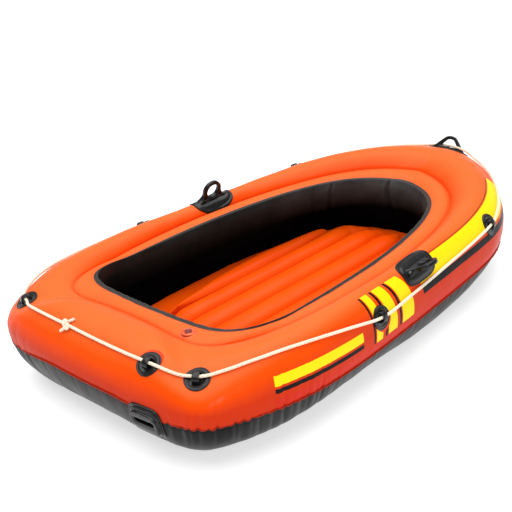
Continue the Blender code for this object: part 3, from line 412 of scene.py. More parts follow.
# ---------------------------------------------------------------- materials
class Finish:
    """A material whose colour, roughness and relief come from nodes."""

    def __init__(self, name, colour, roughness, **sockets):
        self.material = bpy.data.materials.new(name)
        self.material.use_nodes = True
        self.tree = self.material.node_tree
        self.shader = self.tree.nodes["Principled BSDF"]
        self.material.diffuse_color = (*colour, 1.0)
        self.shader.inputs["Base Color"].default_value = (*colour, 1.0)
        self.shader.inputs["Roughness"].default_value = roughness
        for key, value in sockets.items():
            self.shader.inputs[key.replace("_", " ")].default_value = value
        self.place = self.add("ShaderNodeTexCoord").outputs["Object"]
        self.relief = None

    def add(self, kind, inputs=None, **settings):
        node = self.tree.nodes.new(kind)
        for key, value in settings.items():
            setattr(node, key, value)
        for key, value in (inputs or {}).items():
            if isinstance(value, bpy.types.NodeSocket):
                self.tree.links.new(value, node.inputs[key])
            elif isinstance(value, tuple) and len(value) == 3 and node.inputs[key].type == "RGBA":
                node.inputs[key].default_value = (*value, 1.0)
            else:
                node.inputs[key].default_value = value
        return node

    def noise(self, scale, detail=3.0, rough=0.55, distortion=0.0, vector=None):
        node = self.add("ShaderNodeTexNoise", {"Vector": vector or self.place, "Scale": scale, "Detail": detail, "Roughness": rough, "Distortion": distortion})
        return node.outputs["Fac"]

    def stretched(self, x, y, z):
        return self.add("ShaderNodeMapping", {"Vector": self.place, "Scale": (x, y, z)}).outputs["Vector"]

    def voronoi(self, scale, feature="F1", vector=None):
        return self.add("ShaderNodeTexVoronoi", {"Vector": vector or self.place, "Scale": scale}, feature=feature).outputs["Distance"]

    def span(self, value, low, high, start=0.0, end=1.0):
        node = self.add("ShaderNodeMapRange", {"Value": value, "From Min": low, "From Max": high, "To Min": start, "To Max": end})
        return node.outputs["Result"]

    def math(self, operation, a, b=0.0, c=0.0):
        return self.add("ShaderNodeMath", {0: a, 1: b, 2: c}, operation=operation).outputs[0]

    def mix(self, factor, a, b):
        return self.add("ShaderNodeMix", {0: factor, 6: a, 7: b}, data_type="RGBA").outputs[2]

    def facing_up(self, low, high, start=0.0, end=1.0):
        """1 where the surface lies level, 0 where it stands upright."""
        split = self.add("ShaderNodeSeparateXYZ", {"Vector": self.add("ShaderNodeTexCoord").outputs["Normal"]})
        return self.span(split.outputs["Z"], low, high, start, end)

    def uv(self, name):
        node = self.add("ShaderNodeUVMap", uv_map=name)
        split = self.add("ShaderNodeSeparateXYZ", {"Vector": node.outputs["UV"]})
        return split.outputs["X"], split.outputs["Y"]

    def bump(self, height, distance, strength=1.0):
        inputs = {"Height": height, "Distance": distance, "Strength": strength}
        if self.relief:
            inputs["Normal"] = self.relief
        self.relief = self.add("ShaderNodeBump", inputs).outputs["Normal"]

    def done(self, **links):
        for key, value in links.items():
            self.tree.links.new(value, self.shader.inputs[key.replace("_", " ")])
        if self.relief:
            self.tree.links.new(self.relief, self.shader.inputs["Normal"])
        return self.material


ORANGE = (0.82, 0.062, 0.0010)
# the deep and side oranges are painted shade for upright faces and near the seam, the top orange is a painted sheen for
# level faces
ORANGE_DEEP_SHADE = (0.55, 0.026, 0.0007)
ORANGE_SIDE_SHADE = (0.60, 0.031, 0.0007)
ORANGE_LIGHT = (0.84, 0.072, 0.0014)
ORANGE_TOP_SHEEN = (0.84, 0.147, 0.029)
RED = (0.60, 0.022, 0.006)
YELLOW = (0.95, 0.70, 0.004)
INK = (0.004, 0.004, 0.0045)


def vinyl_relief(f, grain=0.00006):
    """Fine embossing, handling marks and faint dents of thin blown-up vinyl."""
    f.bump(f.noise(34.0, 2.0), 0.0009, 0.55)
    f.bump(f.noise(120.0, 3.0), 0.00022, 0.5)
    f.bump(f.noise(900.0, 2.0), grain, 0.6)


def patch_mask(f, u, v, u0, u1, v0, v1, soft=0.0006):
    """1 inside a rectangle of the two coordinates, with printed edges."""
    sides = [f.span(u, u0, u0 + soft), f.span(u, u1, u1 - soft), f.span(v, v0, v0 + soft), f.span(v, v1, v1 - soft)]
    first = f.math("MULTIPLY", sides[0], sides[1])
    second = f.math("MULTIPLY", sides[2], sides[3])
    return f.math("MULTIPLY", first, second)


def either(f, masks):
    total = masks[0]
    for m in masks[1:]:
        total = f.math("MAXIMUM", total, m)
    return total


def orange_deck():
    f = Finish("orange_deck_vinyl", ORANGE, 0.3, Specular_IOR_Level=0.03, IOR=1.5, Coat_Weight=0.11, Coat_Roughness=0.24)
    u, v = f.uv("hull")
    crease, height = f.uv("welds")
    cloud = f.noise(3.1, 4.0)
    colour = f.mix(f.span(cloud, 0.35, 0.7), ORANGE, ORANGE_LIGHT)
    # painted light: upright faces get a darker painted shade, level faces a paler painted sheen on top
    colour = f.mix(f.facing_up(0.05, 0.55), f.mix(f.span(cloud, 0.35, 0.7), ORANGE_SIDE_SHADE, ORANGE_DEEP_SHADE), colour)
    painted_top_sheen = f.math("MULTIPLY", f.facing_up(0.62, 1.0), f.span(f.noise(2.3, 4.0), 0.3, 0.7, 0.72, 1.0))
    colour = f.mix(painted_top_sheen, colour, ORANGE_TOP_SHEEN)
    # painted shade: the skin is darker towards the seam, where it turns under
    low = f.span(v, 0.034, 0.004)
    colour = f.mix(f.math("MULTIPLY", low, f.span(f.noise(14.0), 0.3, 0.7, 0.35, 0.8)), colour, ORANGE_DEEP_SHADE)
    # the weld between the two chambers: a pressed strip with fine cross ribs, painted a little darker as shade in its
    # valley
    near = f.math("ABSOLUTE", crease)
    strip = f.span(near, 0.0036, 0.0022)
    colour = f.mix(f.math("MULTIPLY", strip, 0.38), colour, (0.50, 0.026, 0.002))
    edge = f.span(v, 0.0075, 0.0045)
    colour = f.mix(f.math("MULTIPLY", edge, 0.6), colour, (0.52, 0.022, 0.004))
    # printed bands, plain and the same on both sides
    wear = f.span(f.noise(210.0, 4.0, 0.7), 0.27, 0.31)
    yellow = either(
        f,
        [
            patch_mask(f, u, v, 0.330, 0.985, 0.102, 0.168),
            patch_mask(f, u, v, 1.270, 1.580, 0.062, 0.088),
            patch_mask(f, u, v, 1.036, 1.092, 0.034, 0.168),
            patch_mask(f, u, v, 1.118, 1.160, 0.034, 0.168),
            patch_mask(f, u, v, 1.186, 1.214, 0.034, 0.168),
        ],
    )
    black = either(
        f,
        [
            patch_mask(f, u, v, 0.330, 0.985, 0.0700, 0.0930),
            patch_mask(f, u, v, 1.270, 1.580, 0.0440, 0.0560),
            patch_mask(f, u, v, 1.096, 1.106, 0.034, 0.168),
            patch_mask(f, u, v, 1.164, 1.174, 0.034, 0.168),
            patch_mask(f, u, v, 1.218, 1.226, 0.034, 0.168),
            patch_mask(f, u, v, 0.330, 0.985, 0.1710, 0.1740),
        ],
    )
    colour = f.mix(f.math("MULTIPLY", f.span(v, 0.0305, 0.0295), f.math("MULTIPLY", f.span(u, 0.300, 0.302), f.span(u, 1.582, 1.580))), colour, RED)
    colour = f.mix(f.math("MULTIPLY", yellow, f.span(wear, 0.0, 1.0, 0.86, 1.0)), colour, YELLOW)
    colour = f.mix(f.math("MULTIPLY", black, f.span(wear, 0.0, 1.0, 0.8, 1.0)), colour, INK)
    print_ = f.math("MAXIMUM", yellow, black)
    scuff = f.span(f.noise(46.0, 5.0, 0.65, 0.4, f.stretched(1.0, 1.0, 0.35)), 0.35, 0.72, 0.27, 0.42)
    rough = f.math("ADD", scuff, f.math("MULTIPLY", print_, 0.06))
    rough = f.math("ADD", rough, f.math("MULTIPLY", strip, 0.10))
    vinyl_relief(f)
    ribs = f.add("ShaderNodeTexWave", {"Vector": f.add("ShaderNodeCombineXYZ", {"X": u, "Y": 0.0, "Z": 0.0}).outputs[0], "Scale": 90.0, "Distortion": 0.0}).outputs["Fac"]
    f.bump(f.math("MULTIPLY", ribs, f.math("MAXIMUM", strip, edge)), 0.00025, 0.5)
    f.bump(print_, 0.00004, 0.7)
    return f.done(Base_Color=colour, Roughness=rough)


def orange_plain(name, colour, deep, valleys=False):
    f = Finish(name, colour, 0.33, Specular_IOR_Level=0.05, IOR=1.5, Coat_Weight=0.10, Coat_Roughness=0.22)
    shade = f.mix(f.span(f.noise(4.2, 4.0), 0.35, 0.72), colour, deep)
    rough = f.span(f.noise(38.0, 4.0, 0.6), 0.3, 0.75, 0.27, 0.42)
    if valleys:
        u, v = f.uv("floor")
        # the weld lines in the valleys between the tubes are painted darker, as shade in the valleys
        weld = f.span(u, 0.0042, 0.0022)
        shade = f.mix(f.math("MULTIPLY", weld, 0.6), shade, (0.50, 0.020, 0.002))
        rough = f.math("ADD", rough, f.math("MULTIPLY", weld, 0.12))
        hatch = f.add("ShaderNodeTexWave", {"Vector": f.add("ShaderNodeCombineXYZ", {"X": v, "Y": 0.0, "Z": 0.0}).outputs[0], "Scale": 95.0}).outputs["Fac"]
        f.bump(f.math("MULTIPLY", hatch, weld), 0.0003, 0.6)
    vinyl_relief(f)
    return f.done(Base_Color=shade, Roughness=rough)


def wall_vinyl():
    """Black vinyl of the cockpit wall, with a soft painted sheen on the shoulder under the rim."""
    f = Finish("black_wall_vinyl", (0.006, 0.006, 0.0065), 0.36, IOR=1.5)
    _, down = f.uv("wall")
    # painted sheen: a grey band on the shoulder under the rim, brighter towards the bow
    haze_and_sheen = f.math("MULTIPLY", f.span(down, 0.002, 0.026, 0.40, 1.0), f.span(down, 0.030, 0.104, 1.0, 0.0))
    haze_and_sheen = f.math("MULTIPLY", haze_and_sheen, f.span(f.noise(9.0, 3.0), 0.25, 0.75, 0.30, 1.0))
    split = f.add("ShaderNodeSeparateXYZ", {"Vector": f.place})
    fore = f.span(split.outputs["X"], 0.05, 0.42)
    shade = f.mix(f.span(f.noise(5.0, 5.0, 0.6), 0.4, 0.75), (0.0010, 0.0013, 0.0013), (0.0026, 0.0030, 0.0030))
    shade = f.mix(haze_and_sheen, shade, f.mix(fore, (0.020, 0.023, 0.021), (0.080, 0.085, 0.083)))
    # painted highlight: level faces of the rolled rim turn grey
    shade = f.mix(f.facing_up(0.60, 0.95), shade, (0.050, 0.047, 0.044))
    dust = f.span(f.noise(150.0, 5.0, 0.7), 0.62, 0.82, 0.0, 0.10)
    shade = f.mix(dust, shade, (0.022, 0.022, 0.021))
    rough = f.span(f.noise(30.0, 5.0, 0.62, 0.3, f.stretched(1.0, 1.0, 0.4)), 0.3, 0.75, 0.30, 0.46)
    gloss = f.span(down, 0.006, 0.050, 0.16, 0.0)
    f.bump(f.noise(30.0, 2.0), 0.0010, 0.6)
    f.bump(f.noise(110.0, 3.0), 0.00028, 0.5)
    f.bump(f.noise(800.0, 2.0), 0.00007, 0.6)
    return f.done(Base_Color=shade, Roughness=rough, Specular_IOR_Level=gloss)


def black_vinyl(name, colour, pale, low, high, gloss=0.20, seam=False):
    f = Finish(name, colour, 0.36, Specular_IOR_Level=gloss, IOR=1.5)
    shade = f.mix(f.span(f.noise(5.0, 5.0, 0.6), 0.4, 0.75), colour, pale)
    dust = f.span(f.noise(150.0, 5.0, 0.7), 0.58, 0.78, 0.0, 0.35)
    shade = f.mix(dust, shade, pale)
    if seam:
        # painted sheen: a paler grey just under the seam along the sides aft and down the stern
        u, v = f.uv("hull")
        side = f.math("MULTIPLY", f.span(u, 1.10, 1.30), f.span(u, 1.70, 1.60))
        side = f.math("MULTIPLY", side, f.span(v, 0.075, 0.020))
        stern = f.math("MULTIPLY", f.span(u, 1.93, 2.02), f.span(v, 0.120, 0.050))
        cloud = f.span(f.noise(7.0, 4.0), 0.25, 0.75, 0.55, 1.0)
        shade = f.mix(f.math("MULTIPLY", f.math("MAXIMUM", side, stern), cloud), shade, (0.030, 0.0315, 0.030))
    rough = f.span(f.noise(30.0, 5.0, 0.62, 0.3, f.stretched(1.0, 1.0, 0.4)), 0.3, 0.75, low, high)
    f.bump(f.noise(30.0, 2.0), 0.0010, 0.6)
    f.bump(f.noise(110.0, 3.0), 0.00028, 0.5)
    f.bump(f.noise(800.0, 2.0), 0.00007, 0.6)
    return f.done(Base_Color=shade, Roughness=rough)


def rubber_finish():
    f = Finish("moulded_black_rubber", (0.005, 0.005, 0.0055), 0.3, Specular_IOR_Level=0.24, IOR=1.5, Coat_Weight=0.18, Coat_Roughness=0.10)
    shade = f.mix(f.span(f.noise(26.0, 5.0, 0.62), 0.4, 0.78), (0.003, 0.003, 0.0033), (0.008, 0.0079, 0.0077))
    haze_and_sheen = f.span(f.noise(320.0, 4.0, 0.7), 0.62, 0.8, 0.0, 0.3)
    shade = f.mix(haze_and_sheen, shade, (0.030, 0.029, 0.028))
    rough = f.span(f.noise(70.0, 4.0), 0.3, 0.75, 0.18, 0.32)
    f.bump(f.noise(240.0, 3.0), 0.00010, 0.6)
    f.bump(f.noise(1400.0, 2.0), 0.00005, 0.7)
    return f.done(Base_Color=shade, Roughness=rough)


def rope_finish():
    f = Finish("cream_braided_rope", (0.80, 0.73, 0.58), 0.8, Sheen_Weight=0.25, Sheen_Roughness=0.5)
    along, round_ = f.uv("rope")
    # braid of strands crossing both ways round the rope
    left = f.math("SINE", f.math("MULTIPLY", f.math("ADD", f.math("MULTIPLY", along, 1 / 0.0105), f.math("MULTIPLY", round_, 4.0)), TAU))
    right = f.math("SINE", f.math("MULTIPLY", f.math("SUBTRACT", f.math("MULTIPLY", along, 1 / 0.0105), f.math("MULTIPLY", round_, 4.0)), TAU))
    braid = f.span(f.math("MAXIMUM", left, right), -0.6, 1.0)
    fibre = f.noise(1500.0, 3.0, 0.6)
    tone = f.mix(f.span(f.noise(18.0, 4.0), 0.35, 0.7), (0.90, 0.735, 0.55), (0.95, 0.81, 0.65))
    # painted shade: the grooves between the strands are darker
    tone = f.mix(f.span(braid, 0.45, 0.0, 0.0, 0.7), tone, (0.50, 0.38, 0.24))
    tone = f.mix(f.span(fibre, 0.6, 0.8, 0.0, 0.25), tone, (0.60, 0.52, 0.38))
    rough = f.span(fibre, 0.3, 0.7, 0.68, 0.9)
    f.bump(braid, 0.0007, 0.8)
    f.bump(fibre, 0.00015, 0.6)
    return f.done(Base_Color=tone, Roughness=rough)


def clear_vinyl(name, colour, deep, rough_low, rough_high, through):
    f = Finish(name, colour, rough_low, IOR=1.5, Coat_Weight=0.15, Coat_Roughness=0.12, Transmission_Weight=through)
    shade = f.mix(f.span(f.noise(60.0, 4.0), 0.35, 0.7), colour, deep)
    rough = f.span(f.noise(190.0, 4.0), 0.3, 0.75, rough_low, rough_high)
    f.bump(f.noise(420.0, 2.0), 0.00006, 0.6)
    return f.done(Base_Color=shade, Roughness=rough)


def film_finish(name, colour, deep):
    f = Finish(name, colour, 0.38, IOR=1.5)
    shade = f.mix(f.span(f.noise(7.0, 4.0), 0.35, 0.7), colour, deep)
    rough = f.span(f.noise(40.0, 4.0), 0.3, 0.75, 0.32, 0.5)
    f.bump(f.noise(26.0, 3.0), 0.0012, 0.5)
    f.bump(f.noise(500.0, 2.0), 0.00008, 0.5)
    return f.done(Base_Color=shade, Roughness=rough)


DECK = orange_deck()
FLOOR_ORANGE = orange_plain("orange_floor_vinyl", (0.86, 0.088, 0.0016), (0.82, 0.066, 0.0013), valleys=True)
PATCH_ORANGE = orange_plain("orange_patch_vinyl", (0.80, 0.050, 0.0015), (0.74, 0.036, 0.0012))
WALL_BLACK = wall_vinyl()
LOWER_BLACK = black_vinyl("black_lower_vinyl", (0.0036, 0.0040, 0.0038), (0.0095, 0.0098, 0.0092), 0.26, 0.40, gloss=0.09, seam=True)
BOTTOM_BLACK = black_vinyl("black_bottom_vinyl", (0.012, 0.012, 0.013), (0.030, 0.029, 0.028), 0.42, 0.58)
FLANGE = black_vinyl("dark_red_weld_vinyl", (0.30, 0.018, 0.005), (0.38, 0.026, 0.007), 0.34, 0.50)
RUBBER = rubber_finish()
ROPE = rope_finish()
VALVE = clear_vinyl("valve_orange_vinyl", (0.84, 0.115, 0.018), (0.74, 0.075, 0.012), 0.22, 0.34, 0.0)
PLUG = clear_vinyl("valve_plug_vinyl", (0.21, 0.013, 0.006), (0.15, 0.009, 0.005), 0.26, 0.40, 0.0)
CHAMBER_FILM = film_finish("chamber_film_milky", (0.72, 0.72, 0.69), (0.62, 0.62, 0.58))
WEB_FILM = film_finish("web_film_milky", (0.58, 0.58, 0.55), (0.50, 0.50, 0.47))
DIVIDER_FILM = film_finish("divider_film_grey", (0.52, 0.52, 0.50), (0.44, 0.44, 0.41))

# the frame's inner pieces stay as they are, with a film finish
for node, finish in (
    [("outer_air_chamber", CHAMBER_FILM), ("inner_air_chamber", CHAMBER_FILM), ("chamber_divider", DIVIDER_FILM)]
    + [("floor_web_" + side + "_" + row, WEB_FILM) for side in ("port", "starboard") for row in ("inner", "middle", "outer")]
):
    obj = frame["nodes"][node]
    for k in range(max(1, len(obj.material_slots))):
        if obj.material_slots:
            obj.material_slots[k].material = finish
        else:
            obj.data.materials.append(finish)


# ---------------------------------------------------------------- deck skin
DECK_T = np.concatenate([np.array([0.0, 0.004, 0.009, 0.015, 0.022, 0.030, 0.039, 0.049, 0.060, 0.072, 0.086, 0.102, 0.120]), np.linspace(0.14, 0.965, 36), [0.982, 0.992, 1.0]])
BAND_T = np.array([0.012, 0.03, 0.06, 0.10, 0.16, 0.25, 0.36, 0.48, 0.60, 0.72, 0.84, 0.93, 1.0])


def deck_grid():
    start = SEAM + 0.0040
    rows = [HULL.outer_point(start + (HULL.last - start) * t) for t in DECK_T]
    rows += [HULL.deck_point(np.full(STATIONS, t)) for t in BAND_T]
    grid = np.stack(rows, axis=1)
    t = arcs(grid)
    fold = len(DECK_T) - 1
    crease = t - t[:, fold : fold + 1]
    normal = normals_of(grid)
    # at the fold the normal is the mean of both sides, so the valley stays in place
    push = pleats(t, 0.013 + 0.020 * AFT[:, None]) + folds(t, 0.075, 0.55)
    push -= 0.0010 * np.exp(-((t / 0.0055) ** 2)) * FLAT[:, None]
    push += slack(S[:, None], t) * ease(t, 0.0, 0.05) * ease(np.abs(crease), 0.0, 0.03)
    ruck = 113 * TAU * S / ROUND + wander(S, (2.2, 9, 0.5), (1.5, 17, 1.4), (0.8, 37, 2.3))
    bend = 0.00018 + 0.00065 * ease(FROM_BOW, 1.62, 1.72) * (1 - ease(FROM_BOW, 1.90, 2.02)) + 0.00045 * (1 - ease(FROM_BOW, 0.05, 0.5))
    push += ((pillow(ruck) - 0.62) * bend)[:, None] * np.exp(-((crease / 0.018) ** 2)) * ease(np.abs(crease), 0.0, 0.004)
    push -= 0.0015 * np.exp(-((crease / 0.0042) ** 2))
    uv = np.stack([np.broadcast_to(FROM_BOW[:, None], t.shape), t], -1)
    welds = np.stack([crease, grid[:, :, 2]], -1)
    return grid + normal * push[..., None], uv, welds


deck, deck_uv, deck_welds = deck_grid()
deck_faces = quads(*deck.shape[:2])
deck_piece = new_piece("hull_deck_vinyl", deck, deck_faces, DECK, "orange_vinyl", uvs={"hull": deck_uv, "welds": deck_welds})
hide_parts("deck_skin")


# ---------------------------------------------------------------- lower skin
LOWER_T = np.concatenate([np.array([0.0, 0.006, 0.014, 0.024, 0.036, 0.050, 0.066, 0.084, 0.104, 0.126, 0.15]), np.linspace(0.18, 1.0, 22)])


def lower_grid():
    start, end = SEAM - 0.0040, -math.radians(84)
    rows = [HULL.outer_point(start + (end - start) * t) for t in LOWER_T]
    grid = np.stack(rows, axis=1)
    t = arcs(grid)
    normal = -normals_of(grid)
    push = 1.5 * pleats(t, 0.022 + 0.034 * AFT[:, None]) + folds(t, 0.085, 1.5)
    push -= 0.0010 * np.exp(-((t / 0.0055) ** 2)) * FLAT[:, None]
    rest = ease(grid[:, :, 2] - HULL.low[:, None], 0.002, 0.03)
    push += slack(S[:, None] + 0.4, t) * 1.4 * ease(t, 0.0, 0.05)
    push *= rest
    uv = np.stack([np.broadcast_to(FROM_BOW[:, None], t.shape), t], -1)
    return grid + normal * push[..., None], uv


lower, lower_uv = lower_grid()
lower_piece = new_piece("hull_lower_vinyl", lower, quads(*lower.shape[:2], flip=True), LOWER_BLACK, "lower_black_vinyl", uvs={"hull": lower_uv})
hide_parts("lower_hull_skin")


# the hull as shown, with the seam closed, for fittings to lie on
def hull_tree():
    n, m = deck.shape[:2]
    l = lower.shape[1]
    verts = np.vstack([deck.reshape(-1, 3), lower.reshape(-1, 3)])
    shift = n * m
    i = np.arange(n)
    j = (i + 1) % n
    gap = np.stack([shift + i * l, shift + j * l, j * m, i * m], -1)
    every = np.vstack([deck_faces, quads(n, l, flip=True, shift=shift), gap])
    return BVHTree.FromPolygons(verts.tolist(), every.tolist())


HULL_TREE = hull_tree()


def on_hull(points, out):
    """Where lines along -out through the points meet the hull, and the hull's normals there."""
    hits, ns = [], []
    for p in points:
        p = Vector(p)
        hit, normal, _, _ = HULL_TREE.ray_cast(p + out * 0.06, -out, 0.18)
        if hit is None:
            hit, normal = HULL_TREE.find_nearest(p)[:2]
        if normal.dot(out) < 0:
            normal = -normal
        hits.append(hit)
        ns.append(normal)
    return np.array(hits), np.array(ns)


def hull_hit(p, out):
    return HULL_TREE.ray_cast(Vector(p) + out * 0.06, -out, 0.18)[0]


# ---------------------------------------------------------------- seam weld flange
def flange_grid():
    seam = HULL.outer_point(SEAM)
    above, below = HULL.outer_point(SEAM + 0.02), HULL.outer_point(SEAM - 0.02)
    up = unit(above - below)
    level = HULL.outer_point(HULL.seam)
    along = unit(np.roll(level, -1, 0) - np.roll(level, 1, 0))
    out = unit(np.cross(along, up))
    base = (pillow(PLEATS) - 0.62) * PUCKER * PLEAT_SIZE - 0.0010 * FLAT
    reach = 0.0006 + 0.0042 * (1 - np.exp(-((apart(S, HANDLE_S) / 0.060) ** 8))) * (0.93 + 0.07 * np.sin(3 * PLEATS / 5)) * (1 - 0.62 * CORNER)
    wave = 0.0011 * np.sin(PLEATS / 2) * (PUCKER / 0.0024) + 0.0003 * wander(S, (1, 61, 0.2), (0.7, 103, 1.7))
    loop = ((-0.003, -0.0010), (0.25, -0.0010), (0.7, -0.0008), (0.95, -0.0006), (1.0, 0.0), (0.95, 0.0006), (0.7, 0.0008), (0.25, 0.0010), (-0.003, 0.0010))
    rows = []
    for k, (share, height) in enumerate(loop):
        o = base + (reach * share if share > 0 else share)
        z = height * np.where(reach < 0.002, 0.6, 1.0) + wave * max(share, 0.0) * (reach / 0.0055)
        rows.append(seam + out * o[:, None] + up * z[:, None])
    return np.stack(rows, axis=1)


flange = flange_grid()
flange_piece = new_piece("seam_weld_edge", flange, quads(*flange.shape[:2], closed_m=True), FLANGE, "weld_flange_vinyl")
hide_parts("seam_weld_flange")


# ---------------------------------------------------------------- cockpit wall with its rolled rim
WALL_CREASES = (  # (x, y) of each fold at the rim, depth, slant, width
    (0.387, 0.188, 0.0075, 0.030, 0.0052),
    (0.508, 0.045, 0.0085, -0.012, 0.0054),
    (0.444, -0.143, 0.0075, -0.034, 0.0052),
    (0.482, -0.098, 0.0040, -0.015, 0.0050),
    (0.330, 0.216, 0.0034, 0.020, 0.0052),
    (-0.520, 0.260, 0.0060, 0.016, 0.0060),
    (-0.520, -0.260, 0.0060, -0.016, 0.0060),
    (-0.558, 0.200, 0.0036, 0.010, 0.0052),
    (-0.558, -0.185, 0.0036, 0.012, 0.0052),
)


def wall_grid():
    width = np.linalg.norm(HULL.rim - HULL.crease, axis=1)
    over = np.column_stack([HULL.over, np.zeros(STATIONS)])
    up = np.array((0.0, 0.0, 1.0))
    rows = []
    for back, high in ((0.0030, 0.0001), (0.0029, 0.0006), (0.0022, 0.0009), (0.0012, 0.0010), (0.0002, 0.0009)):
        rows.append(HULL.deck_point(1 - back / width) + up * high)
    rim = HULL.deck_point(np.ones(STATIONS))
    rows.append(rim + over * 0.0008 + up * 0.0005)
    rows.append(rim + over * 0.0014 - up * 0.0004)
    for t in np.concatenate([[0.004, 0.009, 0.016, 0.025, 0.037, 0.052, 0.070, 0.092, 0.120], np.linspace(0.152, 1.0, 28)]):
        rows.append(HULL.wall_point(t))
    grid = np.stack(rows, axis=1)
    below = np.clip(arcs(grid) - arcs(grid)[:, 7:8], 0.0, None)
    grid[:, :, 2] += 0.0078 * (below / 0.010) * np.exp(1 - below / 0.010)
    t = arcs(grid)
    down = t - t[:, 7:8]
    normal = normals_of(grid)
    s_rim = np.concatenate([[0.0], np.cumsum(np.linalg.norm(np.diff(HULL.rim, axis=0), axis=1))])
    total = s_rim[-1] + np.linalg.norm(HULL.rim[0] - HULL.rim[-1])
    fade = ease(down, 0.004, 0.03)
    push = np.zeros_like(down)
    for x, y, depth, slant, wide in WALL_CREASES:
        nearest = int(np.argmin((HULL.rim[:, 0] - x) ** 2 + (HULL.rim[:, 1] - y) ** 2))
        d = (s_rim[:, None] - s_rim[nearest] + total / 2) % total - total / 2
        d = d - slant * (down / 0.2) - 0.004 * np.sin(down / 0.028)
        w = wide * (0.8 + 1.3 * down / 0.2)
        groove = -np.exp(-((d / w) ** 2)) + 0.45 * np.exp(-(((np.abs(d) - 2.1 * w) / (1.2 * w)) ** 2))
        push += depth * groove * fade * (0.55 + 0.45 * np.exp(-(((down - 0.07) / 0.07) ** 2)))
    ruck = 83 * TAU * S / ROUND + wander(S, (2.0, 6, 0.9), (1.4, 15, 0.1), (0.9, 27, 1.8))
    tight = 0.0006 + 0.0011 * (1 - ease(FROM_BOW, 0.5, 0.95)) + 0.0011 * ease(FROM_BOW, 1.55, 1.75)
    push += ((pillow(ruck) - 0.62) * tight)[:, None] * np.exp(-((down / 0.030) ** 2)) * ease(down, 0.002, 0.010)
    push += ((pillow(ruck * 0.5 + 0.7) - 0.62) * (tight * 1.7))[:, None] * np.exp(-(((down - 0.19) / 0.055) ** 2))
    push += 0.0012 * np.sin(TAU * (11 * s_rim[:, None] / total + down / 0.5) + 0.5) * fade
    push += 0.0007 * np.sin(TAU * (23 * s_rim[:, None] / total - down / 0.33) + 1.9) * fade
    push *= (down > 0)
    uv = np.stack([np.broadcast_to(s_rim[:, None], down.shape), down], -1)
    return grid + normal * push[..., None], uv


wall, wall_uv = wall_grid()
wall_faces = quads(*wall.shape[:2])
wall_piece = new_piece("cockpit_wall_vinyl", wall, wall_faces, WALL_BLACK, "wall_black_vinyl", uvs={"wall": wall_uv})
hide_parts("cockpit_wall_skin")


# ---------------------------------------------------------------- bottom sheet
def bottom_mesh():
    n = 160
    u = np.interp(np.linspace(0, ROUND / 2, n + 1), _run, _u)
    s = Sections(u)
    edge = s.outer + s.inward * BOTTOM_INSET
    cols = np.linspace(-1, 1, 61)
    rows = []
    for x, y in edge:
        y = max(y, 0.0015)
        yy = cols * y
        sag = 0.00025 * np.sin(TAU * (x / 0.17 + yy / 0.31)) * (1 - cols**2)
        rows.append(np.column_stack([np.full(len(cols), x), yy, float(lift(x)) + 0.0002 + np.abs(sag)]))
    low = np.stack(rows)
    high = low + np.array((0.0, 0.0, BOTTOM - 0.0003))
    m = len(cols)
    parts = joined(
        (low.reshape(-1, 3), quads(n + 1, m, closed_n=False, flip=True)),
        (high.reshape(-1, 3), quads(n + 1, m, closed_n=False)),
    )
    verts, faces = parts
    shift = (n + 1) * m
    rim = [k for k in range(m)] + [i * m + m - 1 for i in range(1, n + 1)] + [n * m + k for k in range(m - 2, -1, -1)] + [i * m for i in range(n - 1, 0, -1)]
    for a, b in zip(rim, rim[1:] + rim[:1]):
        faces.append((a, b, b + shift, a + shift))
    return faced_out(verts, faces)


bottom_piece = new_piece("hull_bottom_vinyl", *bottom_mesh(), BOTTOM_BLACK, "bottom_vinyl", sharp=50)
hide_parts("bottom_sheet")


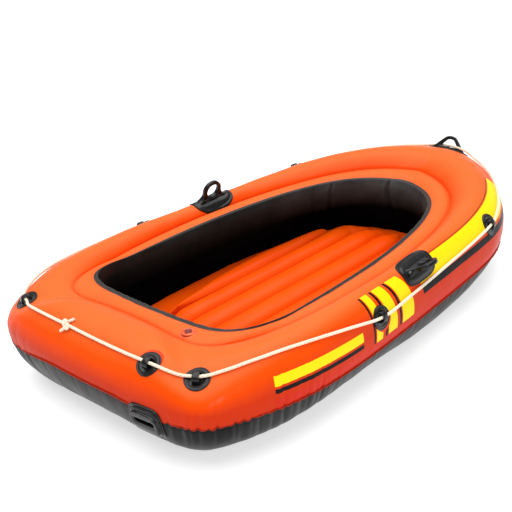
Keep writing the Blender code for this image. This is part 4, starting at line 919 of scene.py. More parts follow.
# ---------------------------------------------------------------- air floor
def floor_mesh():
    """Parallel air tubes between weld lines, rounded at both ends, on a flat weld flange that meets the wall."""
    half = Sections(np.linspace(0.0, 0.5, 801))
    low = WALL_FOOT_Z + lift(half.foot[:, 0]) * 0.5
    t = (half.zr - (FLOOR_FLANGE_Z + 0.004)) / (half.zr - low)
    line = half.wall_point(t)[:, :2]
    turn = int(np.argmax(line[:, 0] < -0.535))
    side, transom = line[: turn + 1], line[turn:]

    def width(x):
        return np.interp(-x, -side[:, 0], side[:, 1])

    def edge_of(x, hw):
        return min(0.272 - 0.5 * (x - 0.05) ** 2, max(hw - 0.015, 0.8 * hw))

    steps = 0.5 * (1 - np.cos(np.linspace(0, math.pi, 17)))
    xs = np.concatenate([np.linspace(-0.5, -0.40, 44), np.linspace(-0.40, 0.34, 150)[1:], np.linspace(0.34, float(line[0, 0]) + 0.001, 60)[1:]])

    def columns(x, hw):
        edge = edge_of(x, hw)
        squeeze = min(1.0, 0.95 * edge / FLOOR_VALLEYS[-1])
        knots = [v * squeeze for v in FLOOR_VALLEYS] + [edge]
        ys, across, tube, mid = [], [], [], []
        bounds = [-k for k in reversed(knots)] + knots
        for n, (a, b) in enumerate(zip(bounds, bounds[1:])):
            for q in steps if n == 0 else steps[1:]:
                ys.append(a + (b - a) * q)
                across.append(2 * q - 1)
                mid.append((a + b) / 2)
                tube.append((b - a) / 2)
        flat = np.linspace(0, 1, 6)[1:]
        ys = [-(edge + (hw - edge) * q) for q in reversed(flat)] + ys + [edge + (hw - edge) * q for q in flat]
        pad = [1.0] * len(flat)
        across = pad + across + pad
        mid = [0.0] * len(flat) + mid + [0.0] * len(flat)
        tube = [0.04] * len(flat) + tube + [0.04] * len(flat)
        return np.array(ys), np.array(across), np.array(tube), np.array(mid)

    rows, marks = [], []
    reach = float(transom[0, 1]) - 0.003
    aft_hw = float(width(-0.5)) + 0.004
    aft = columns(-0.5, aft_hw)[0]
    order = np.argsort(transom[:, 1])
    for q in np.linspace(0, 1, 10)[:-1]:
        y = aft * (reach + (aft_hw - reach) * q) / aft_hw
        x0 = np.interp(np.abs(y), transom[order, 1], transom[order, 0]) - 0.002
        x = x0 + (-0.5 - x0) * q
        rows.append(np.column_stack([x, y, np.full(len(y), FLOOR_FLANGE_Z) + lift(x) * 0.6]))
        marks.append(np.column_stack([np.full(len(y), 0.05), x]))
    for x in xs:
        hw = float(width(x)) + 0.004
        y, across, tube, mid = columns(float(x), hw)
        tip = 0.476 - 0.25 * mid**2 / 0.26 - 0.10 * ease(np.abs(mid), 0.15, 0.25)
        tail = -0.484 + 0.0 * mid
        fore = np.clip((x - (tip - 2.4 * tube)) / (2.4 * tube), 0.0, None)
        back = np.clip(((tail + 0.8 * tube) - x) / (0.8 * tube), 0.0, None)
        q = np.clip(np.abs(across) * 1.06, 0.0, 1.0)
        share = np.sqrt(np.clip(1 - q**2 - fore**2 - back**2, 0.0, 1.0))
        inside = float(min(ease(x, -0.487, -0.46), ease(-x, -0.443, -0.413)))
        base = FLOOR_FLANGE_Z + (FLOOR_VALLEY_Z - FLOOR_FLANGE_Z) * inside * (np.abs(across) <= 1.0)
        base = np.where(np.arange(len(y)) < 5, FLOOR_FLANGE_Z, base)
        base = np.where(np.arange(len(y)) >= len(y) - 5, FLOOR_FLANGE_Z, base)
        ripple = np.abs(np.cos(math.pi * x / 0.021 + 1.7 * np.sin(9 * x) + 3.1 * mid / 0.085)) ** 0.7 - 0.6
        near = (1 - np.abs(across)) * tube
        z = base + (FLOOR_CREST_Z - FLOOR_VALLEY_Z) * share + 0.0009 * ripple * np.exp(-((near / 0.010) ** 2)) * (share > 0.02)
        z = z + 0.0005 * np.sin(TAU * (x / 0.19 + mid / 0.3)) * share
        rows.append(np.column_stack([np.full(len(y), x), y, z + lift(x) * 0.6]))
        marks.append(np.column_stack([np.where(share > 0, near, 0.05), np.full(len(y), x)]))
    grid = np.stack(rows)
    mark = np.stack(marks)
    return grid, mark


floor_grid_, floor_marks = floor_mesh()
floor_faces = quads(*floor_grid_.shape[:2], closed_n=False)
floor_piece = new_piece("air_floor_vinyl", floor_grid_, floor_faces, FLOOR_ORANGE, "floor_orange_vinyl", uvs={"floor": floor_marks})
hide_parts("floor_top_skin")
FLOOR_TREE = BVHTree.FromPolygons(floor_grid_.reshape(-1, 3).tolist(), floor_faces.tolist())


# ---------------------------------------------------------------- rope route, as in the frame
WAY = [
    KNOT,
    CLIPS["transom"],
    CLIPS["stern_starboard"],
    CLIPS["mid_starboard"],
    CLIPS["bow_starboard"],
    (1.0, BOW_HANDLE[1]),
    (1 + CLIPS["bow_port"][0], CLIPS["bow_port"][1]),
    (1 + CLIPS["mid_port"][0], CLIPS["mid_port"][1]),
    (1 + CLIPS["stern_port"][0], CLIPS["stern_port"][1]),
    (1 + KNOT[0], KNOT[1]),
]


LINE = sorted(WAY + list(TAUT_STARBOARD) + [(1 + u, angle) for u, angle in TAUT_PORT])


def route_angle(u):
    return np.interp(u, [w[0] for w in LINE], [w[1] for w in LINE])


def rope_centres(u):
    """Rope centres at route positions u: above the skin, lifted at clips and the bow handle."""
    lo, hi = WAY[0][0], WAY[-1][0]
    angle = sum(route_angle(np.clip(u + k * 0.003, lo, hi)) for k in range(-2, 3)) / 5
    rad = np.radians(angle)
    p = Sections(u).outer_point(rad)
    along = unit(Sections(u + 0.001).outer_point(rad) - Sections(u - 0.001).outer_point(rad))
    up = unit(Sections(u).outer_point(rad + math.radians(0.5)) - Sections(u).outer_point(rad - math.radians(0.5)))
    out = unit(np.cross(along, up))
    height = np.full(len(u), 0.0060)
    for way_u, _ in WAY[1:-1]:
        if way_u != 1.0:
            height = np.maximum(height, 0.0088 - 0.20 * np.maximum(np.abs(u - way_u) - 0.004, 0))
    origin, _, _, normal = surface_frame(*BOW_HANDLE)
    through = np.array(Vector((0, 1, 0)).cross(normal).normalized())
    y = p[:, 1].copy()
    share = np.where(np.abs(u - 1.0) < 0.07, 1 - ease(np.abs(y), 0.064, 0.115), 0.0)
    height = height + 0.0066 * share
    here = (p - np.array(origin)) @ through
    p = p + through[None, :] * ((0.0096 * np.tanh(y / 0.0080) - here) * share)[:, None]
    return p + out * height[:, None], out


def resampled(points, step, extra=()):
    run = np.concatenate([[0.0], np.cumsum(np.linalg.norm(np.diff(points, axis=0), axis=1))])
    n = max(int(round(run[-1] / step)), 4)
    at = np.linspace(0, run[-1], n + 1)
    pick = [np.column_stack([np.interp(at, run, v[:, k]) for k in range(3)]) for v in (points, *extra)]
    return pick, at, run[-1]


def rope_tube(points, hints, radius, segments, at, twist=None, squash=None, ends=True):
    """Tube along points whose section turns with the given hint directions. UV is (length, turn)."""
    points, hints = np.asarray(points, float), np.asarray(hints, float)
    tangent = unit(np.gradient(points, axis=0))
    side = unit(np.cross(tangent, hints))
    front = np.cross(side, tangent)
    theta = TAU * np.arange(segments + 1) / segments
    r = np.broadcast_to(np.asarray(radius, float), (len(points),))[:, None] * np.ones((1, segments + 1))
    if twist:
        lobe = np.abs(np.cos(1.5 * (theta[None, :] - TAU * at[:, None] / twist)))
        r = r * (0.90 + 0.13 * lobe)
    grid = points[:, None, :] + side[:, None, :] * (r * np.cos(theta))[..., None] + front[:, None, :] * (r * np.sin(theta))[..., None]
    uv = np.stack(np.broadcast_arrays(at[:, None], (theta / TAU)[None, :]), -1)
    m = segments + 1
    verts = grid.reshape(-1, 3)
    faces = [tuple(f) for f in quads(len(points), m, closed_n=False, flip=True)]
    uvs = uv.reshape(-1, 2)
    if ends:
        for row, flip in ((0, False), (len(points) - 1, True)):
            out = tangent[row] * (-1 if row == 0 else 1)
            verts = np.vstack([verts, points[row] + out * float(r[row].mean()) * 0.35])
            uvs = np.vstack([uvs, uv[row].mean(axis=0)])
            tip = len(verts) - 1
            for k in range(segments):
                a, b = row * m + k, row * m + k + 1
                faces.append((a, b, tip) if not flip else (b, a, tip))
    return verts, faces, uvs


route_u = np.unique(np.concatenate([np.linspace(WAY[0][0], WAY[-1][0], 2600), np.linspace(0.985, 1.015, 400)]))
centres, outs = rope_centres(route_u)
for _ in range(3):                       # the rope is smooth where the frame's route bends
    centres[1:-1] = 0.25 * centres[:-2] + 0.5 * centres[1:-1] + 0.25 * centres[2:]
(rope_line, rope_out), rope_at, rope_full = resampled(centres, 0.0022, (outs,))
keep = (rope_at > KNOT_HALF + 0.0004) & (rope_at < rope_full - KNOT_HALF - 0.0004)
rope_line, rope_out, rope_at = rope_line[keep], rope_out[keep], rope_at[keep]
verts, faces, uvs = rope_tube(rope_line, rope_out, ROPE_R, 18, rope_at, twist=0.034)
rope_piece = new_piece("grab_rope_braid", verts, faces, ROPE, "cream_rope", uvs={"rope": uvs})
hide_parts("grab_rope")


def centre_near(u):
    c, o = rope_centres(np.array([u - 0.004, u, u + 0.004]))
    return Vector(c[1]), Vector(unit(c[2] - c[0]))


# ---------------------------------------------------------------- rope knot
def knot_mesh():
    out = surface_frame(*KNOT)[3]
    first, last = Vector(rope_line[0]), Vector(rope_line[-1])
    middle = (first + last) / 2
    way = (first - last).normalized()
    side = out.cross(way).normalized()
    parts, uvs = [], []

    def add(points, radius, twist=None):
        pts = np.array([middle + way * a + side * b + out * c for a, b, c in points])
        (line,), at, _ = resampled(pts, 0.0011)
        for _ in range(4):
            line[1:-1] = 0.25 * line[:-2] + 0.5 * line[1:-1] + 0.25 * line[2:]
        hint = np.tile(np.array(out + way * 0.21 + side * 0.13), (len(line), 1))
        v, f, uv = rope_tube(line, hint, radius, 14, at + 0.01 * len(parts), twist=0.034)
        parts.append((v, f))
        uvs.append(uv)

    # the two ends cross, wrap once round each other and come out as short stubs
    add([(-0.0125, 0.0, 0.0), (-0.007, 0.001, 0.0008), (-0.002, 0.0042, 0.0040), (0.003, 0.0030, 0.0062), (0.0055, -0.0025, 0.0040), (0.003, -0.0070, -0.0006), (-0.001, -0.0125, -0.0026), (-0.0045, -0.0175, -0.0032), (-0.0070, -0.0215, -0.0034)], 0.0041)
    add([(0.0125, 0.0, 0.0), (0.007, -0.001, 0.0002), (0.002, -0.0044, 0.0054), (-0.003, -0.0034, 0.0072), (-0.0058, 0.0022, 0.0046), (-0.003, 0.0070, -0.0002), (0.0012, 0.0125, -0.0024), (0.0052, 0.0180, -0.0032), (0.0084, 0.0230, -0.0034)], 0.0041)
    turn = np.linspace(0, TAU * 1.05, 26)
    add([(0.0008 + 0.0011 * math.sin(t / 2), 0.0074 * math.cos(t), 0.0024 + 0.0066 * math.sin(t)) for t in turn], 0.0038)
    # two short bights stand out between the stubs
    for heading, reach in ((math.radians(152), 0.0165), (math.radians(-34), 0.0165)):
        bight = []
        for k in np.linspace(-1, 1, 17):
            along_, across_ = reach * (1 - 0.86 * k * k), 0.0052 * math.sin(math.pi * 0.5 * k) * (1.1 - 0.4 * k * k)
            a = along_ * math.cos(heading) - across_ * math.sin(heading)
            b = along_ * math.sin(heading) + across_ * math.cos(heading)
            bight.append((a, b, 0.0046 - 0.0042 * (1 - k * k)))
        add(bight, 0.0038)
    v, f = joined(*parts)
    return v, f, np.vstack(uvs)


verts, faces, uvs = knot_mesh()
knot_piece = new_piece("rope_knot_tied", verts, faces, ROPE, "cream_rope", uvs={"rope": uvs})
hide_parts("rope_knot")


# ---------------------------------------------------------------- fittings that lie on the hull
def moulded_pad(frame_, shapes, count=72, centre=True, shifts=None):
    """Moulding bent to the hull: shapes is [(half_w, half_h, power, height)] from the edge inwards, each shifted up."""
    origin, ex, ey, out = frame_
    verts, faces = [], []
    m = len(shapes)
    for (half_w, half_h, power, height), shift in zip(shapes, shifts or [0.0] * m):
        loop = oval(half_w, half_h, power, count)
        pts = [origin + ex * float(a) + ey * float(b + shift) for a, b in loop]
        hits, ns = on_hull(pts, out)
        smooth = unit(0.5 * ns + 0.5 * np.array(out))
        verts.extend(hits + smooth * height)
    for k in range(m - 1):
        for i in range(count):
            j = (i + 1) % count
            faces.append((k * count + i, k * count + j, (k + 1) * count + j, (k + 1) * count + i))
    if centre:
        hit, _ = on_hull([origin], out)
        verts.append(hit[0] + np.array(out) * shapes[-1][3])
        tip = len(verts) - 1
        for i in range(count):
            faces.append(((m - 1) * count + i, (m - 1) * count + (i + 1) % count, tip))
    # faces look outwards
    v = np.asarray(verts)
    a, b, c = (v[faces[-1][k]] for k in range(3))
    if np.dot(np.cross(b - a, c - a), np.array(out)) < 0:
        faces = [tuple(reversed(f)) for f in faces]
    return verts, faces


def round_steps(profile):
    return [(r, r, 2.0, h) for r, h in profile]


CLIP_STEPS = round_steps(
    [(0.0325, -0.0006), (0.0325, 0.0017), (0.0322, 0.0024), (0.0316, 0.0028), (0.0302, 0.0029), (0.0296, 0.0026), (0.0291, 0.0021), (0.0250, 0.0020), (0.0246, 0.0024), (0.0240, 0.0028), (0.0226, 0.0029), (0.0220, 0.0026), (0.0215, 0.0022), (0.0130, 0.0022), (0.0065, 0.0023)]
)


def clip(name, u, angle):
    """Round rubber clip: stepped disc and a bridge for the rope."""
    p, _, _, out = surface_frame(u, angle)
    near = u if u > WAY[0][0] else u + 1
    centre, heading = centre_near(near)
    heading = (heading - out * heading.dot(out)).normalized()
    across = out.cross(heading).normalized()
    disc = moulded_pad((p, heading, across, out), CLIP_STEPS)
    base = centre - out * 0.0087
    t = np.linspace(0, math.pi, 33)
    c, s = np.cos(t), np.sin(t)
    power = 0.62
    a = 0.0123 * np.sign(c) * np.abs(c) ** power
    b = 0.0148 * np.abs(s) ** power
    a = np.concatenate([[0.0129, 0.0125], a, [-0.0125, -0.0129]])
    b = np.concatenate([[-0.0040, -0.0012], b, [-0.0012, -0.0040]])
    pts = np.array([base + across * float(x) + out * float(y) for x, y in zip(a, b)])
    tangent = unit(np.gradient(pts, axis=0))
    wide = np.tile(np.array(heading), (len(pts), 1))
    thick = unit(np.cross(tangent, wide))
    share = np.clip(b / 0.0148, 0, 1)
    half_thick = 0.0026 - 0.0010 * ease(share, 0.5, 1.0)
    half_wide = 0.0098 - 0.0009 * ease(share, 0.2, 1.0) + 0.0018 * (1 - ease(b, -0.001, 0.0045))
    bridge = faced_out(*swept(pts, thick, wide, half_thick, half_wide, power=3.6, count=24))
    verts, faces = joined(disc, bridge)
    piece = new_piece("clip_" + name, verts, faces, RUBBER, "black_rubber", sharp=55)
    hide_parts("rope_clip_" + name)
    return p, heading, across, out


CLIP_FRAMES = {name: clip(name, *place) for name, place in CLIPS.items()}


def patch(name, frame_, shift, radius):
    """Round reinforcing patch welded under a fitting."""
    p, ex, ey, out = frame_
    origin = p + ex * shift[0] + ey * shift[1]
    steps = round_steps([(radius, -0.0003), (radius, 0.0004), (radius - 0.0006, 0.0007), (radius - 0.0030, 0.0007), (radius - 0.0036, 0.0004), (radius - 0.0046, 0.0006), (radius * 0.6, 0.0006), (radius * 0.3, 0.0006)])
    verts, faces = moulded_pad((origin, ex, ey, out), steps, count=84)
    return new_piece(name, verts, faces, PATCH_ORANGE, "orange_vinyl")


def towards(frame_, world, amount):
    """(forwards, across) shift of that amount along a world direction, in the fitting's plane."""
    _, ex, ey, out = frame_
    v = Vector(world)
    v = (v - out * v.dot(out)).normalized()
    return amount * v.dot(ex), amount * v.dot(ey)


patch("clip_patch_mid_starboard", CLIP_FRAMES["mid_starboard"], towards(CLIP_FRAMES["mid_starboard"], (0.55, 0.0, -0.75), 0.0125), 0.0300)
patch("clip_patch_transom", CLIP_FRAMES["transom"], towards(CLIP_FRAMES["transom"], (0.8, 0.1, 0.4), 0.0085), 0.0320)


def ground(frame_, a):
    origin, across, up, _ = frame_
    return (hull_hit(origin + across * a, up) - origin).dot(up)


def looped_plate(frame_, outer, inner, depth_at, count=20, power=4.5, lean=0.0):
    """Rounded plate with one hole, between matched outer and inner loops of (across, up); its foot is cut to the lean."""
    origin, across, up, through = (np.array(v) for v in frame_)
    outer, inner = np.asarray(outer, float), np.asarray(inner, float)
    ring = oval(1.0, 1.0, power, count)
    n = len(outer)
    grid = np.zeros((n, count, 3))
    for j, (f, w) in enumerate(ring):
        share = 0.5 + 0.5 * f
        point = inner + (outer - inner) * share
        depth = np.array([depth_at(float(h)) for h in point[:, 1]])
        off = 0.5 * depth * w
        foot = -off * math.tan(math.radians(lean)) * (1 - ease(point[:, 1], 0.002, 0.016))
        grid[:, j] = origin + point[:, :1] * across + (point[:, 1] + foot)[:, None] * up + off[:, None] * through
    return faced_out(list(grid.reshape(-1, 3)), [tuple(f) for f in quads(n, count, closed_m=True)])


def chaikin(loop, times=2):
    loop = np.asarray(loop, float)
    for _ in range(times):
        after = np.roll(loop, -1, 0)
        loop = np.stack([0.75 * loop + 0.25 * after, 0.25 * loop + 0.75 * after], 1).reshape(-1, 2)
    return loop


def oarlock(name, x, angle, lean, port):
    p, along, _, normal = surface_frame(ring_position(x, angle, port), angle)
    fore = along if along.x > 0 else -along
    steps = [
        (0.0710, 0.0385, 3.4, -0.0006), (0.0710, 0.0385, 3.4, 0.0026), (0.0706, 0.0381, 3.4, 0.0036), (0.0699, 0.0374, 3.4, 0.0041),
        (0.0684, 0.0359, 3.4, 0.0041), (0.0677, 0.0352, 3.4, 0.0037), (0.0672, 0.0347, 3.4, 0.0029), (0.0632, 0.0307, 3.2, 0.0028),
        (0.0626, 0.0301, 3.2, 0.0032), (0.0618, 0.0293, 3.1, 0.0038), (0.0570, 0.0245, 2.9, 0.0042), (0.0440, 0.0150, 2.5, 0.0044), (0.0200, 0.0070, 2.2, 0.0045),
    ]
    pad = moulded_pad((p, fore, normal.cross(fore).normalized(), normal), steps, count=120)
    out = Matrix.Rotation(math.radians(lean), 3, fore) @ normal
    flat = out.cross(fore).normalized()
    frame_ = (hull_hit(p, normal), fore, out, flat)
    hole_r, hole_h, top_r, half_base = 0.0208, 0.0320, 0.0330, 0.0550
    outer, inner = [], []
    count = 96
    for k in range(count):
        t = TAU * (k + 0.5) / count - math.pi / 2
        c, s = math.cos(t), math.sin(t)
        inner.append((hole_r * c, hole_h + hole_r * s))
        if s > 0:
            outer.append((top_r * c, hole_h + top_r * 0.97 * s))
            continue
        side = 1 if c >= 0 else -1
        share = abs(math.atan2(c, -s)) / (math.pi / 2)
        if share > 0.45:
            f = (1 - share) / 0.55
            half = top_r + (half_base - top_r) * f**2.4
            foot = ground(frame_, side * half) + 0.0012
            outer.append((side * half, hole_h + (foot - hole_h) * f))
        else:
            half = half_base * share / 0.45
            outer.append((side * half, ground(frame_, side * half) + 0.0012))
    loop = looped_plate(frame_, outer, inner, lambda h: 0.012 + 0.014 * max(0.0, 1 - max(h - 0.002, 0) / 0.022) ** 1.5, lean=lean)
    # a raised bead round the hole on both faces
    t = TAU * np.arange(72) / 72
    beads = []
    for sign in (-1, 1):
        ring = []
        for psi in TAU * np.arange(10) / 10:
            r = hole_r + 0.0030 + 0.0019 * math.cos(psi)
            w = 0.0056 + 0.0016 * math.sin(psi)
            ring.append([frame_[0] + fore * float(r * math.cos(k)) + out * float(hole_h + r * math.sin(k)) + flat * (sign * w) for k in t])
        grid = np.array(ring).transpose(1, 0, 2)
        beads.append(faced_out(list(grid.reshape(-1, 3)), [tuple(f) for f in quads(72, 10, closed_m=True)]))
    verts, faces = joined(pad, loop, *beads)
    piece = new_piece(name + "_moulding", verts, faces, RUBBER, "black_rubber", sharp=55)
    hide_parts(name)


oarlock("oarlock_port", *OARLOCK_PORT, True)
oarlock("oarlock_starboard", *OARLOCK_STARBOARD, False)


def bow_handle():
    p, _, _, out = surface_frame(*BOW_HANDLE)
    across = Vector((0, 1, 0))
    through = across.cross(out).normalized()
    steps = [
        (0.0760, 0.0200, 2.6, -0.0006), (0.0760, 0.0200, 2.6, 0.0020), (0.0756, 0.0196, 2.6, 0.0028), (0.0748, 0.0189, 2.6, 0.0033),
        (0.0736, 0.0177, 2.6, 0.0033), (0.0729, 0.0170, 2.6, 0.0029), (0.0724, 0.0165, 2.6, 0.0024), (0.0660, 0.0120, 2.5, 0.0026), (0.0400, 0.0060, 2.3, 0.0028),
    ]
    pad = moulded_pad((p, across, through, out), steps, count=110)
    frame_ = (hull_hit(p, out), across, out, through)

    def low(a):
        return a, ground(frame_, a) + 0.0010

    half_outer = [(0.0160, 0.0425), (0.0240, 0.0365), (0.0340, 0.0265), (0.0460, 0.0150), (0.0590, ground(frame_, 0.0590) + 0.0058), low(0.0690)]
    half_inner = [(0.0115, 0.0320), (0.0165, 0.0280), (0.0215, 0.0220), (0.0260, 0.0165), (0.0290, 0.0120), (0.0300, 0.0090)]
    outer = [(-0.0070, 0.0450), (0.0070, 0.0450)] + half_outer + [low(a) for a in (0.0450, 0.0150, -0.0150, -0.0450)] + [(-a, b) for a, b in reversed(half_outer)]
    inner = [(-0.0050, 0.0335), (0.0050, 0.0335)] + half_inner + [(a, 0.0080) for a in (0.0200, 0.0070, -0.0070, -0.0200)] + [(-a, b) for a, b in reversed(half_inner)]
    loop = looped_plate(frame_, chaikin(outer), chaikin(inner), lambda h: 0.0090 + 0.0030 * max(0.0, 1 - max(h, 0.0) / 0.012))
    verts, faces = joined(pad, loop)
    piece = new_piece("bow_handle_moulding", verts, faces, RUBBER, "black_rubber", sharp=55)
    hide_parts("bow_handle")


bow_handle()


def stern_handle():
    p, along, _, out = surface_frame(*STERN_HANDLE)
    side = Vector((along.x, along.y, 0)).normalized()
    if side.y < 0:
        side = -side
    rise = out.cross(side)
    if rise.z < 0:
        rise = -rise
    steps = [
        (0.0520, 0.0480, 4.0, -0.0004), (0.0520, 0.0480, 4.0, 0.0030), (0.0516, 0.0476, 4.0, 0.0037), (0.0508, 0.0468, 4.0, 0.0041),
        (0.0494, 0.0452, 4.0, 0.0041), (0.0488, 0.0446, 4.0, 0.0037), (0.0483, 0.0441, 4.0, 0.0031), (0.0468, 0.0400, 4.0, 0.0031),
        (0.0464, 0.0396, 4.0, 0.0040), (0.0458, 0.0390, 4.0, 0.0056), (0.0450, 0.0380, 4.0, 0.0060), (0.0438, 0.0330, 4.0, 0.0062),
        (0.0433, 0.0318, 4.0, 0.0074), (0.0428, 0.0308, 4.0, 0.0108), (0.0421, 0.0300, 4.0, 0.0122), (0.0410, 0.0288, 4.0, 0.0130),
        (0.0385, 0.0180, 4.6, 0.0131), (0.0370, 0.0140, 5.0, 0.0129), (0.0358, 0.0122, 5.4, 0.0120), (0.0340, 0.0100, 5.8, 0.0114),
        (0.0322, 0.0080, 6.0, 0.0111), (0.0314, 0.0072, 6.0, 0.0104), (0.0311, 0.0069, 6.0, 0.0090), (0.0310, 0.0068, 6.0, 0.0050), (0.0310, 0.0068, 6.0, 0.0004),
    ]
    shifts = [0.0] * 14 + [0.2, 0.4, 0.7, 0.9] + [1.0] * 7
    verts, faces = moulded_pad((p, side, rise, out), steps, count=128, centre=False, shifts=[SLOT_RISE * k for k in shifts])
    # faces look outwards: test one on the raised rim
    v = np.asarray(verts)
    f = faces[4 * 128]
    if np.dot(np.cross(v[f[1]] - v[f[0]], v[f[2]] - v[f[0]]), np.array(out)) < 0:
        faces = [tuple(reversed(f)) for f in faces]
    piece = new_piece("stern_handle_moulding", verts, faces, RUBBER, "black_rubber", sharp=55)
    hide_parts("stern_handle")


stern_handle()


# ---------------------------------------------------------------- valves
def highest(centre, axis, radius, tree):
    ez = axis.normalized()
    ex = ez.orthogonal().normalized()
    ey = ez.cross(ex)
    top = -1.0
    for r in (0.0, 0.4, 0.7, 1.0):
        for k in range(16):
            t = TAU * k / 16
            q = centre + ex * (radius * r * math.cos(t)) + ey * (radius * r * math.sin(t))
            hit = tree.ray_cast(q + ez * 0.05, -ez, 0.12)
            if hit[0] is not None:
                top = max(top, (hit[0] - centre).dot(ez))
    return top


def valve(prefix, hinge_side, skirt_tree):
    """Welded base, pull-out stem and hinged plug cap, each on its own body, where the frame has them."""
    lo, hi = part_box(prefix + "_base")
    joints = {j["name"]: j for j in frame["record"]["behaviour"]["joints"]}
    ez = Vector(joints[prefix + "_pull"]["axis"]).normalized()
    pin = Vector(joints[prefix + "_cap_hinge"]["pos_m"])
    ey = -Vector(joints[prefix + "_cap_hinge"]["axis"]).normalized()
    ex = -ez.cross(ey).normalized()
    if ex.dot(Vector(hinge_side)) < 0:
        ex = -ex
    ey = ez.cross(ex).normalized()
    at = pin - ex * 0.0128 - ez * 0.0031
    frame_ = (at, ex, ey, ez)
    # base: flange with two pressed weld rings, and a thin skirt that meets the skin
    t = TAU * np.arange(72) / 72
    skirt = []
    for r, h in ((0.0222, 0.0001), (0.0218, 0.0006), (0.0200, 0.0008), (0.0184, 0.0008)):
        row = []
        for k in t:
            q = at + ex * float(r * math.cos(k)) + ey * float(r * math.sin(k))
            hit = skirt_tree.ray_cast(q + ez * 0.03, -ez, 0.08)[0] or q
            row.append(np.array(hit + ez * h))
        skirt.append(row)
    grid = np.array(skirt)
    skirt_part = (list(grid.reshape(-1, 3)), [tuple(f) for f in quads(4, 72, closed_n=False, closed_m=True, flip=True)])
    base = turned(
        [(0.0186, -0.0006), (0.0184, 0.0007), (0.0176, 0.0012), (0.0168, 0.0014), (0.0160, 0.0013), (0.0155, 0.0009), (0.0150, 0.0013), (0.0142, 0.0016),
         (0.0134, 0.0013), (0.0129, 0.0010), (0.0124, 0.0014), (0.0112, 0.0017), (0.0098, 0.0018), (0.0091, 0.0016), (0.0088, 0.0012), (0.0088, -0.0068), (0.0100, -0.0068), (0.0102, -0.0010)],
        64, frame_)
    verts, faces = joined(skirt_part, (base[0], base[1]))
    piece = new_piece(prefix + "_seat", verts, faces, VALVE, "clear_orange_vinyl", sharp=60)
    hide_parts(prefix + "_base")
    stem = turned(
        [(0.0060, -0.0070), (0.0084, -0.0066), (0.0084, 0.0012), (0.0081, 0.0017), (0.0074, 0.0019), (0.0066, 0.0018), (0.0058, 0.0015), (0.0056, 0.0010), (0.0056, -0.0066), (0.0060, -0.0070)],
        48, frame_)
    # strap from the spout's lip to the plug's hinge
    strap_pts = [at + ex * x + ez * z for x, z in ((0.0076, 0.00178), (0.0092, 0.00190), (0.0108, 0.00196), (0.0120, 0.00210), (0.0126, 0.00245), (0.0129, 0.00290), (0.0129, 0.00335))]
    runs = [(strap_pts[min(i + 1, 6)] - strap_pts[max(i - 1, 0)]).normalized() for i in range(7)]
    strap = faced_out(*swept(strap_pts, np.array([np.array(r.cross(ey)) for r in runs]), np.tile(np.array(ey), (7, 1)), 0.00022, 0.0026, power=3.0, count=18))
    stem = joined(stem, strap)
    piece = new_piece(prefix + "_spout", *stem, VALVE, "clear_orange_vinyl", body=prefix + "_stem", sharp=60)
    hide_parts(prefix + "_stem")
    # one-way flap inside the spout
    flap = turned([(0.0, 0.0002), (0.0054, 0.0002), (0.0057, 0.0004), (0.0054, 0.0007), (0.0, 0.0008)], 40, frame_)
    new_piece(prefix + "_flap", *flap, PLUG, "dark_plug_vinyl", body=prefix + "_stem", sharp=60)
    top = 0.0021
    cap = turned(
        [(0.0, top - 0.0036), (0.0036, top - 0.0036), (0.0043, top - 0.0030), (0.0044, top - 0.0004), (0.0046, top), (0.0088, top), (0.0093, top + 0.0004), (0.0094, top + 0.0010),
         (0.0091, top + 0.0017), (0.0084, top + 0.0020), (0.0074, top + 0.0019), (0.0068, top + 0.0014), (0.0060, top + 0.0012), (0.0030, top + 0.0012), (0.0022, top + 0.0015), (0.0, top + 0.0016)],
        56, frame_)
    a = np.linspace(0.0072, 0.0120, 7)
    lug_pts = [at + ex * float(x) + ez * (top + 0.0010) for x in a]
    lug = faced_out(*swept(lug_pts, np.tile(np.array(ez), (7, 1)), np.tile(np.array(ey), (7, 1)), 0.0008, 0.0029 + 0.0004 * np.linspace(0, 1, 7), power=3.4, count=20))
    b = np.linspace(-0.0080, -0.0112, 5)
    tab_pts = [at + ex * float(x) + ez * (top + 0.0011) for x in b]
    tab = faced_out(*swept(tab_pts, np.tile(np.array(ez), (5, 1)), np.tile(np.array(ey), (5, 1)), 0.0007, 0.0026, power=3.0, count=18))
    verts, faces = joined(cap, lug, tab)
    piece = new_piece(prefix + "_plug", verts, faces, PLUG, "dark_plug_vinyl", body=prefix + "_cap", sharp=60)
    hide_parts(prefix + "_cap")


valve("deck_valve", (-1, -0.3, 0), HULL_TREE)
valve("main_valve", (0, 0, -1), HULL_TREE)
valve("floor_valve", (1, 0, 0), FLOOR_TREE)


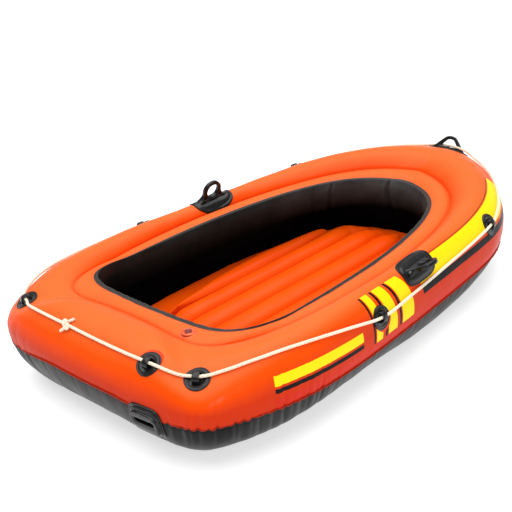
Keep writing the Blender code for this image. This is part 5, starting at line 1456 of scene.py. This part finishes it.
# ---------------------------------------------------------------- stage and light
def stage():
    f = Finish("pale_studio_floor", (0.54, 0.54, 0.537), 0.55, IOR=1.3)
    shade = f.mix(f.span(f.noise(0.8, 3.0), 0.35, 0.7), (0.53, 0.53, 0.526), (0.55, 0.55, 0.547))
    rough = f.span(f.noise(5.0, 3.0), 0.3, 0.7, 0.5, 0.62)
    f.shader.inputs["Emission Color"].default_value = (1.0, 1.0, 1.0, 1.0)
    f.shader.inputs["Emission Strength"].default_value = 0.62
    material = f.done(Base_Color=shade, Roughness=rough)
    half = 60.0
    mesh = bpy.data.meshes.new("studio_floor")
    edge = [(-half, -half), (half, -half), (half, half), (-half, half)]
    # the far edge turns up, so that low views end on it
    rim = [(4 + i, 4 + (i + 1) % 4, (i + 1) % 4, i) for i in range(4)]
    mesh.from_pydata([(x, y, z) for z in (-0.0006, 6.0) for x, y in edge], [], [(0, 1, 2, 3)] + rim)
    mesh.materials.append(material)
    floor = bpy.data.objects.new("studio_floor", mesh)
    bpy.context.scene.collection.objects.link(floor)


def lamp(name, where, look, size, power, colour=(1, 1, 1)):
    light = bpy.data.lights.new(name, "AREA")
    light.shape = "RECTANGLE"
    light.size, light.size_y = size
    light.energy = power
    light.color = colour
    obj = bpy.data.objects.new(name, light)
    obj.location = where
    obj.rotation_euler = (Vector(look) - Vector(where)).to_track_quat("-Z", "Y").to_euler()
    bpy.context.scene.collection.objects.link(obj)


def soft_sun(name, towards_, strength, spread):
    """Broad overhead light, the same all over the stage."""
    light = bpy.data.lights.new(name, "SUN")
    light.energy = strength
    light.angle = math.radians(spread)
    obj = bpy.data.objects.new(name, light)
    obj.rotation_euler = (-Vector(towards_)).to_track_quat("-Z", "Y").to_euler()
    bpy.context.scene.collection.objects.link(obj)


stage()
soft_sun("overhead_light", (0.06, 0.12, 1.0), 3.3, 74)
lamp("near_softbox", (-1.608, -2.782, 1.781), (-0.708, -0.402, 0.192), (0.60, 0.60), 17)

world = bpy.data.worlds.new("studio_world")
world.use_nodes = True
world.node_tree.nodes["Background"].inputs["Color"].default_value = (1.0, 1.0, 1.0, 1.0)
world.node_tree.nodes["Background"].inputs["Strength"].default_value = 0.45
bpy.context.scene.world = world
bpy.context.scene.view_settings.view_transform = "Standard"
bpy.context.scene.view_settings.look = "None"

bpy.context.view_layer.update()
